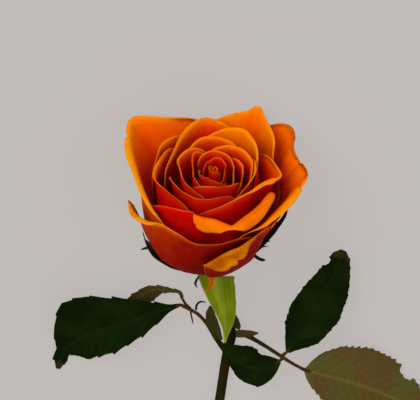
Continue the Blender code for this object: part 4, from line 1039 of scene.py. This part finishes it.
def build_blades(skins):
    """The front sepal, the leaflets and the stipules."""
    for name, fold, midrib, left, right in BLADES:
        leaflet = name.startswith("leaflet")
        rows, half = (170, 12) if leaflet else (70, 8)
        offsets = np.linspace(-1.0, 1.0, 2 * half + 1)
        margin = leaf_margin(name) if leaflet else None
        grid, top = blade_grid(midrib, left, right, fold, UP, rows, offsets, margin)
        vein, between = leaf_veins(grid, 4.6)
        share = np.linspace(0.0, 1.0, rows)[:, None]
        if name == "sepal_front":
            # on the front sepal this pale band is a painted highlight along its ridge
            vein = np.exp(-((offsets[None, :] + 0.1) / 0.28) ** 2) * (1.0 - 0.7 * share)
        if leaflet:
            uneven = swell(share + 0.1 * np.sign(offsets)[None, :], len(name), 2.2, 4.1)
            wave = 0.45 * np.abs(offsets[None, :]) ** 2 * uneven
            grid = grid + (0.30 * between + wave)[..., None] * top[:, None]
        age = 0.9 * smooth_step((share - 0.90) / 0.08) if leaflet else 0.0
        values, place, to_edge = sheet_values(grid, vein, age)
        values["back"] = BLADE_UNDERSIDES.get(name, (1.0, 0.0))
        full = SEPAL_SKIN if name == "sepal_front" else LEAF_SKIN
        thickness = full * (0.45 + 0.55 * smooth_step(to_edge / EDGE_TAPER))
        slot_name = BLADE_SLOTS.get(name, "leaf" if leaflet else "leaf_stalk")
        mesh = sheet_mesh(name + "_fine", grid, thickness, False, place, values)
        piece_from(mesh, skins[slot_name], slot_name, name)


def build_stalks(skins):
    for name, course in TUBES:
        mesh = tube_mesh(name + "_fine", tube_rings(course, 50, 14, 0.03))
        piece_from(mesh, skins["leaf_stalk_bark"], "leaf_stalk", name)
    for name, course in SMALL_STALKS:
        mesh = tube_mesh(name, tube_rings(course, 26, 10, 0.03))
        skin = skins["leaf_stalk_bark" if name.startswith("stalk") else "leaf_hair_bark"]
        piece_from(mesh, skin, "sepal" if name.startswith("sepal") else "leaf_stalk")


def build_hanging_petal(skin):
    grid, _top = blade_grid(HANGING_PETAL, HANGING_WIDTHS, HANGING_WIDTHS, HANGING_FOLD,
                            np.array([0.5, -0.5, 0.7]), 60, np.linspace(-1, 1, 9))
    _to_rim, to_edge, upward = from_edges(grid)
    values = {"warmth_and_shade": (HANGING_WARMTH, HANGING_WARMTH), "back": (0.0, 0.0), "edge": (to_edge, to_edge)}
    thickness = HANGING_SKIN + 0 * to_edge
    mesh = sheet_mesh("hanging_petal", grid, thickness, False, sheet_place(upward, -4.0, 4.0), values)
    piece_from(mesh, skin, "petal_outer")


def build_hip(skin):
    rings = lathe(through(HIP_PROFILE, 40), 60)
    angles = ring_angles(60)
    ribs = 1.0 + 0.02 * np.cos(5 * angles) + 0.008 * np.cos(13 * angles)
    rings = rings * np.stack([ribs, ribs, np.ones_like(ribs)], axis=-1)[None]
    piece_from(tube_mesh("hip_fine", from_bloom(rings)[::-1]), skin, "hip", "hip")


def build_stem(skin):
    """The stem with its nodes, its slanted cut end and its prickles."""
    rise = math.radians(BLOOM_RISE)
    axis = np.array([0.0, math.cos(rise), math.sin(rise)])
    hip_end = UP * FOOT_HEIGHT - axis * (2 * CONTACT_GAP - HIP_PROFILE[0][1])
    neck = [(*hip_end, NECK_RADIUS), (*(hip_end - axis * 2.0), NECK_RADIUS),
            (*(hip_end - axis * 6.0 + np.array([0.6, 0.0, 0.9])), NECK_RADIUS)]
    course = neck + list(STEM_COURSE)
    rings = tube_rings(course, STEM_RINGS, 28, 0.012)
    line = tube_frame(course, STEM_RINGS)
    centre, forward, _side, top, _radius = line
    slant = (rings[-1] - centre[-1]) @ top[-1] / STEM_COURSE[-1][3]
    rings[-1] += slant[:, None] * forward[-1] * STEM_CUT_SLANT / 2
    inward = [rings[-1] * (1 - share) + rings[-1].mean(axis=0) * share for share, _tone in CUT_RINGS]
    cut = np.concatenate([np.zeros(STEM_RINGS), [tone for _share, tone in CUT_RINGS]])
    mesh = tube_mesh("stem_fine", np.concatenate([rings, np.stack(inward)]), {"cut": cut})
    piece_from(mesh, skin, "stem", "stem")
    horn = prickle_material()
    for number, (share, angle) in enumerate(PRICKLES, start=1):
        build_prickle("prickle_%d" % number, horn, line, int(round(share * (STEM_RINGS - 1))), angle)


def build_prickle(name, skin, line, at, angle):
    """A prickle on one ring of the stem: a long foot that narrows to a point bent down the stem."""
    centre, forward, side, top, radius = (values[at] for values in line)
    out = math.cos(math.radians(angle)) * side + math.sin(math.radians(angle)) * top
    around = unit(np.cross(out, forward))
    start = centre + out * (radius - 0.5)
    angles = ring_angles(16)
    height = np.linspace(0.0, 1.0, 18)
    rings = []
    for share in height:
        middle = start + out * (PRICKLE_LENGTH + 0.3) * share + forward * 1.5 * share**2
        long_axis = 2.3 * (1 - share) ** 1.6 + 0.55 * (1 - share) + 0.05
        short_axis = 0.9 * (1 - share) ** 1.3 + 0.05
        rings.append(middle + np.cos(angles)[:, None] * forward * long_axis
                     + np.sin(angles)[:, None] * around * short_axis)
    piece_from(tube_mesh(name, np.stack(rings), {"height": height}), skin, "stem")


# the camera: above the bloom, past the vertical, as far away as the lens needs to keep the scale
CAMERA_DISTANCE = 800.0
CAMERA_TILT = 12.0
FRAME_WIDTH = 176.4          # what the frame's width spans at the foot of the bloom
CAMERA_RIGHT = -1.89         # from the foot of the bloom's axis to the middle of the frame
CAMERA_UP = 24.36
SENSOR = 36.0


def build_camera():
    tilt = math.radians(90.0 + CAMERA_TILT)
    right = np.array([1.0, 0.0, 0.0])
    up = np.array([0.0, math.sin(tilt), math.cos(tilt)])
    back = np.array([0.0, -math.cos(tilt), math.sin(tilt)])
    foot = UP * FOOT_HEIGHT
    spot = placed(foot + right * CAMERA_RIGHT + up * CAMERA_UP + back * CAMERA_DISTANCE)
    data = bpy.data.cameras.new("camera")
    data.sensor_width = SENSOR
    data.lens = SENSOR * CAMERA_DISTANCE / FRAME_WIDTH
    data.clip_start = 0.01
    data.clip_end = 20.0
    camera = add_object("camera", data)
    camera.matrix_world = Matrix.Translation(spot) @ Matrix((right, up, back)).transposed().to_4x4()
    bpy.context.scene.camera = camera


FLOOR_REACH = 3.0            # in metres
FLOOR_COLOUR = (84, 82, 80)
FLOOR_GLOW_COLOUR = (192, 187, 184)
FLOOR_GLOW = 0.84            # the floor's own light, so that shadows on it stay faint
WORLD_STRENGTH = 0.6
KEY_STRENGTH = 1.4
FILL_STRENGTH = 0.5


def build_light(name, strength, spread, toward):
    """A soft far light that shines from the given direction."""
    data = bpy.data.lights.new(name, "SUN")
    data.energy = strength
    data.angle = math.radians(spread)
    direction = unit(np.array(toward, dtype=float))
    across = unit(np.cross([0.0, 1.0, 0.0], direction))
    turn = Matrix((across, np.cross(direction, across), direction)).transposed().to_4x4()
    add_object(name, data).matrix_world = turn


def build_studio():
    mesh = bpy.data.meshes.new("floor")
    corners = [(x * FLOOR_REACH, y * FLOOR_REACH, 0.0) for x, y in ((-1, -1), (1, -1), (1, 1), (-1, 1))]
    mesh.from_pydata(corners, [], [(0, 1, 2, 3)])
    shader = Shader("floor_paper", 0.9, 0.0, Emission_Color=linear(FLOOR_GLOW_COLOUR),
                    Emission_Strength=FLOOR_GLOW)
    tone = shader.between(shader.noise(6.0, 2.0), 0.0, 1.0)
    pale = tuple(min(255, value + 1) for value in FLOOR_COLOUR)
    mesh.materials.append(shader.finish(shader.mix(tone, FLOOR_COLOUR, pale)))
    floor = add_object("floor", mesh)
    world = bpy.data.worlds.new("studio")
    world.use_nodes = True
    background = world.node_tree.nodes["Background"]
    background.inputs["Color"].default_value = (1.0, 0.99, 0.98, 1.0)
    background.inputs["Strength"].default_value = WORLD_STRENGTH
    bpy.context.scene.world = world
    build_light("key", KEY_STRENGTH, 40, (-0.45, 0.35, 0.85))
    build_light("fill", FILL_STRENGTH, 60, (0.5, -0.3, 0.8))
    bpy.context.scene.view_settings.view_transform = "Standard"


def make_skins():
    leaf_top = ((8, 20, 0), (16, 31, 2), (22, 36, 6))
    under = ((84, 62, 28), (74, 74, 30), (112, 92, 52))
    hip_green = (84, 98, 30)
    dark_leaf = leaf_material("leaf_skin", *leaf_top, *under)
    return {
        "petal_heart": petal_material("petal_heart_skin", 0.10, INNER_COLOURS, BACK_COLOURS),
        "petal_outer": petal_material("petal_outer_skin", 0.14, INNER_COLOURS, BACK_COLOURS),
        # the front guard petals' backs take the darker outside colours, partly painted shade
        "petal_front": petal_material("petal_front_skin", 0.30, FLAP_COLOURS, OUTSIDE_AND_SHADE_COLOURS),
        "leaf": dark_leaf,
        "leaf_underside": dark_leaf,
        "leaf_stalk": leaf_material("stipule_skin", (40, 42, 10), (58, 50, 18), (66, 52, 24), *under),
        "leaf_stalk_bark": bark_material("leaf_stalk_bark", (30, 30, 5), (52, 42, 12), (86, 42, 18)),
        "leaf_hair_bark": bark_material("leaf_hair_bark", (14, 24, 2), (30, 38, 8), (34, 30, 8)),
        # the front sepal's third colour is a painted highlight along its ridge
        "sepal_bright": sepal_material("sepal_front_skin", (84, 98, 2), (114, 126, 12), (138, 146, 44),
                                       (160, 162, 80)),
        "sepal": sepal_material("sepal_skin", (24, 32, 6), (42, 50, 14), (56, 60, 24), (60, 58, 30)),
        "hip": sepal_material("hip_skin", (58, 72, 14), hip_green, hip_green, hip_green),
        "stem": bark_material("stem_bark", (18, 20, 0), (34, 34, 3), (40, 28, 4), cut=True),
    }


def main():
    skins = make_skins()
    layers = Layers()
    build_camera()
    build_petals(layers, skins)
    build_upright_sepals(layers, skins["sepal"])
    build_blades(skins)
    build_stalks(skins)
    build_hanging_petal(skins["petal_front"])
    build_hip(skins["hip"])
    build_stem(skins["stem"])
    build_studio()


main()
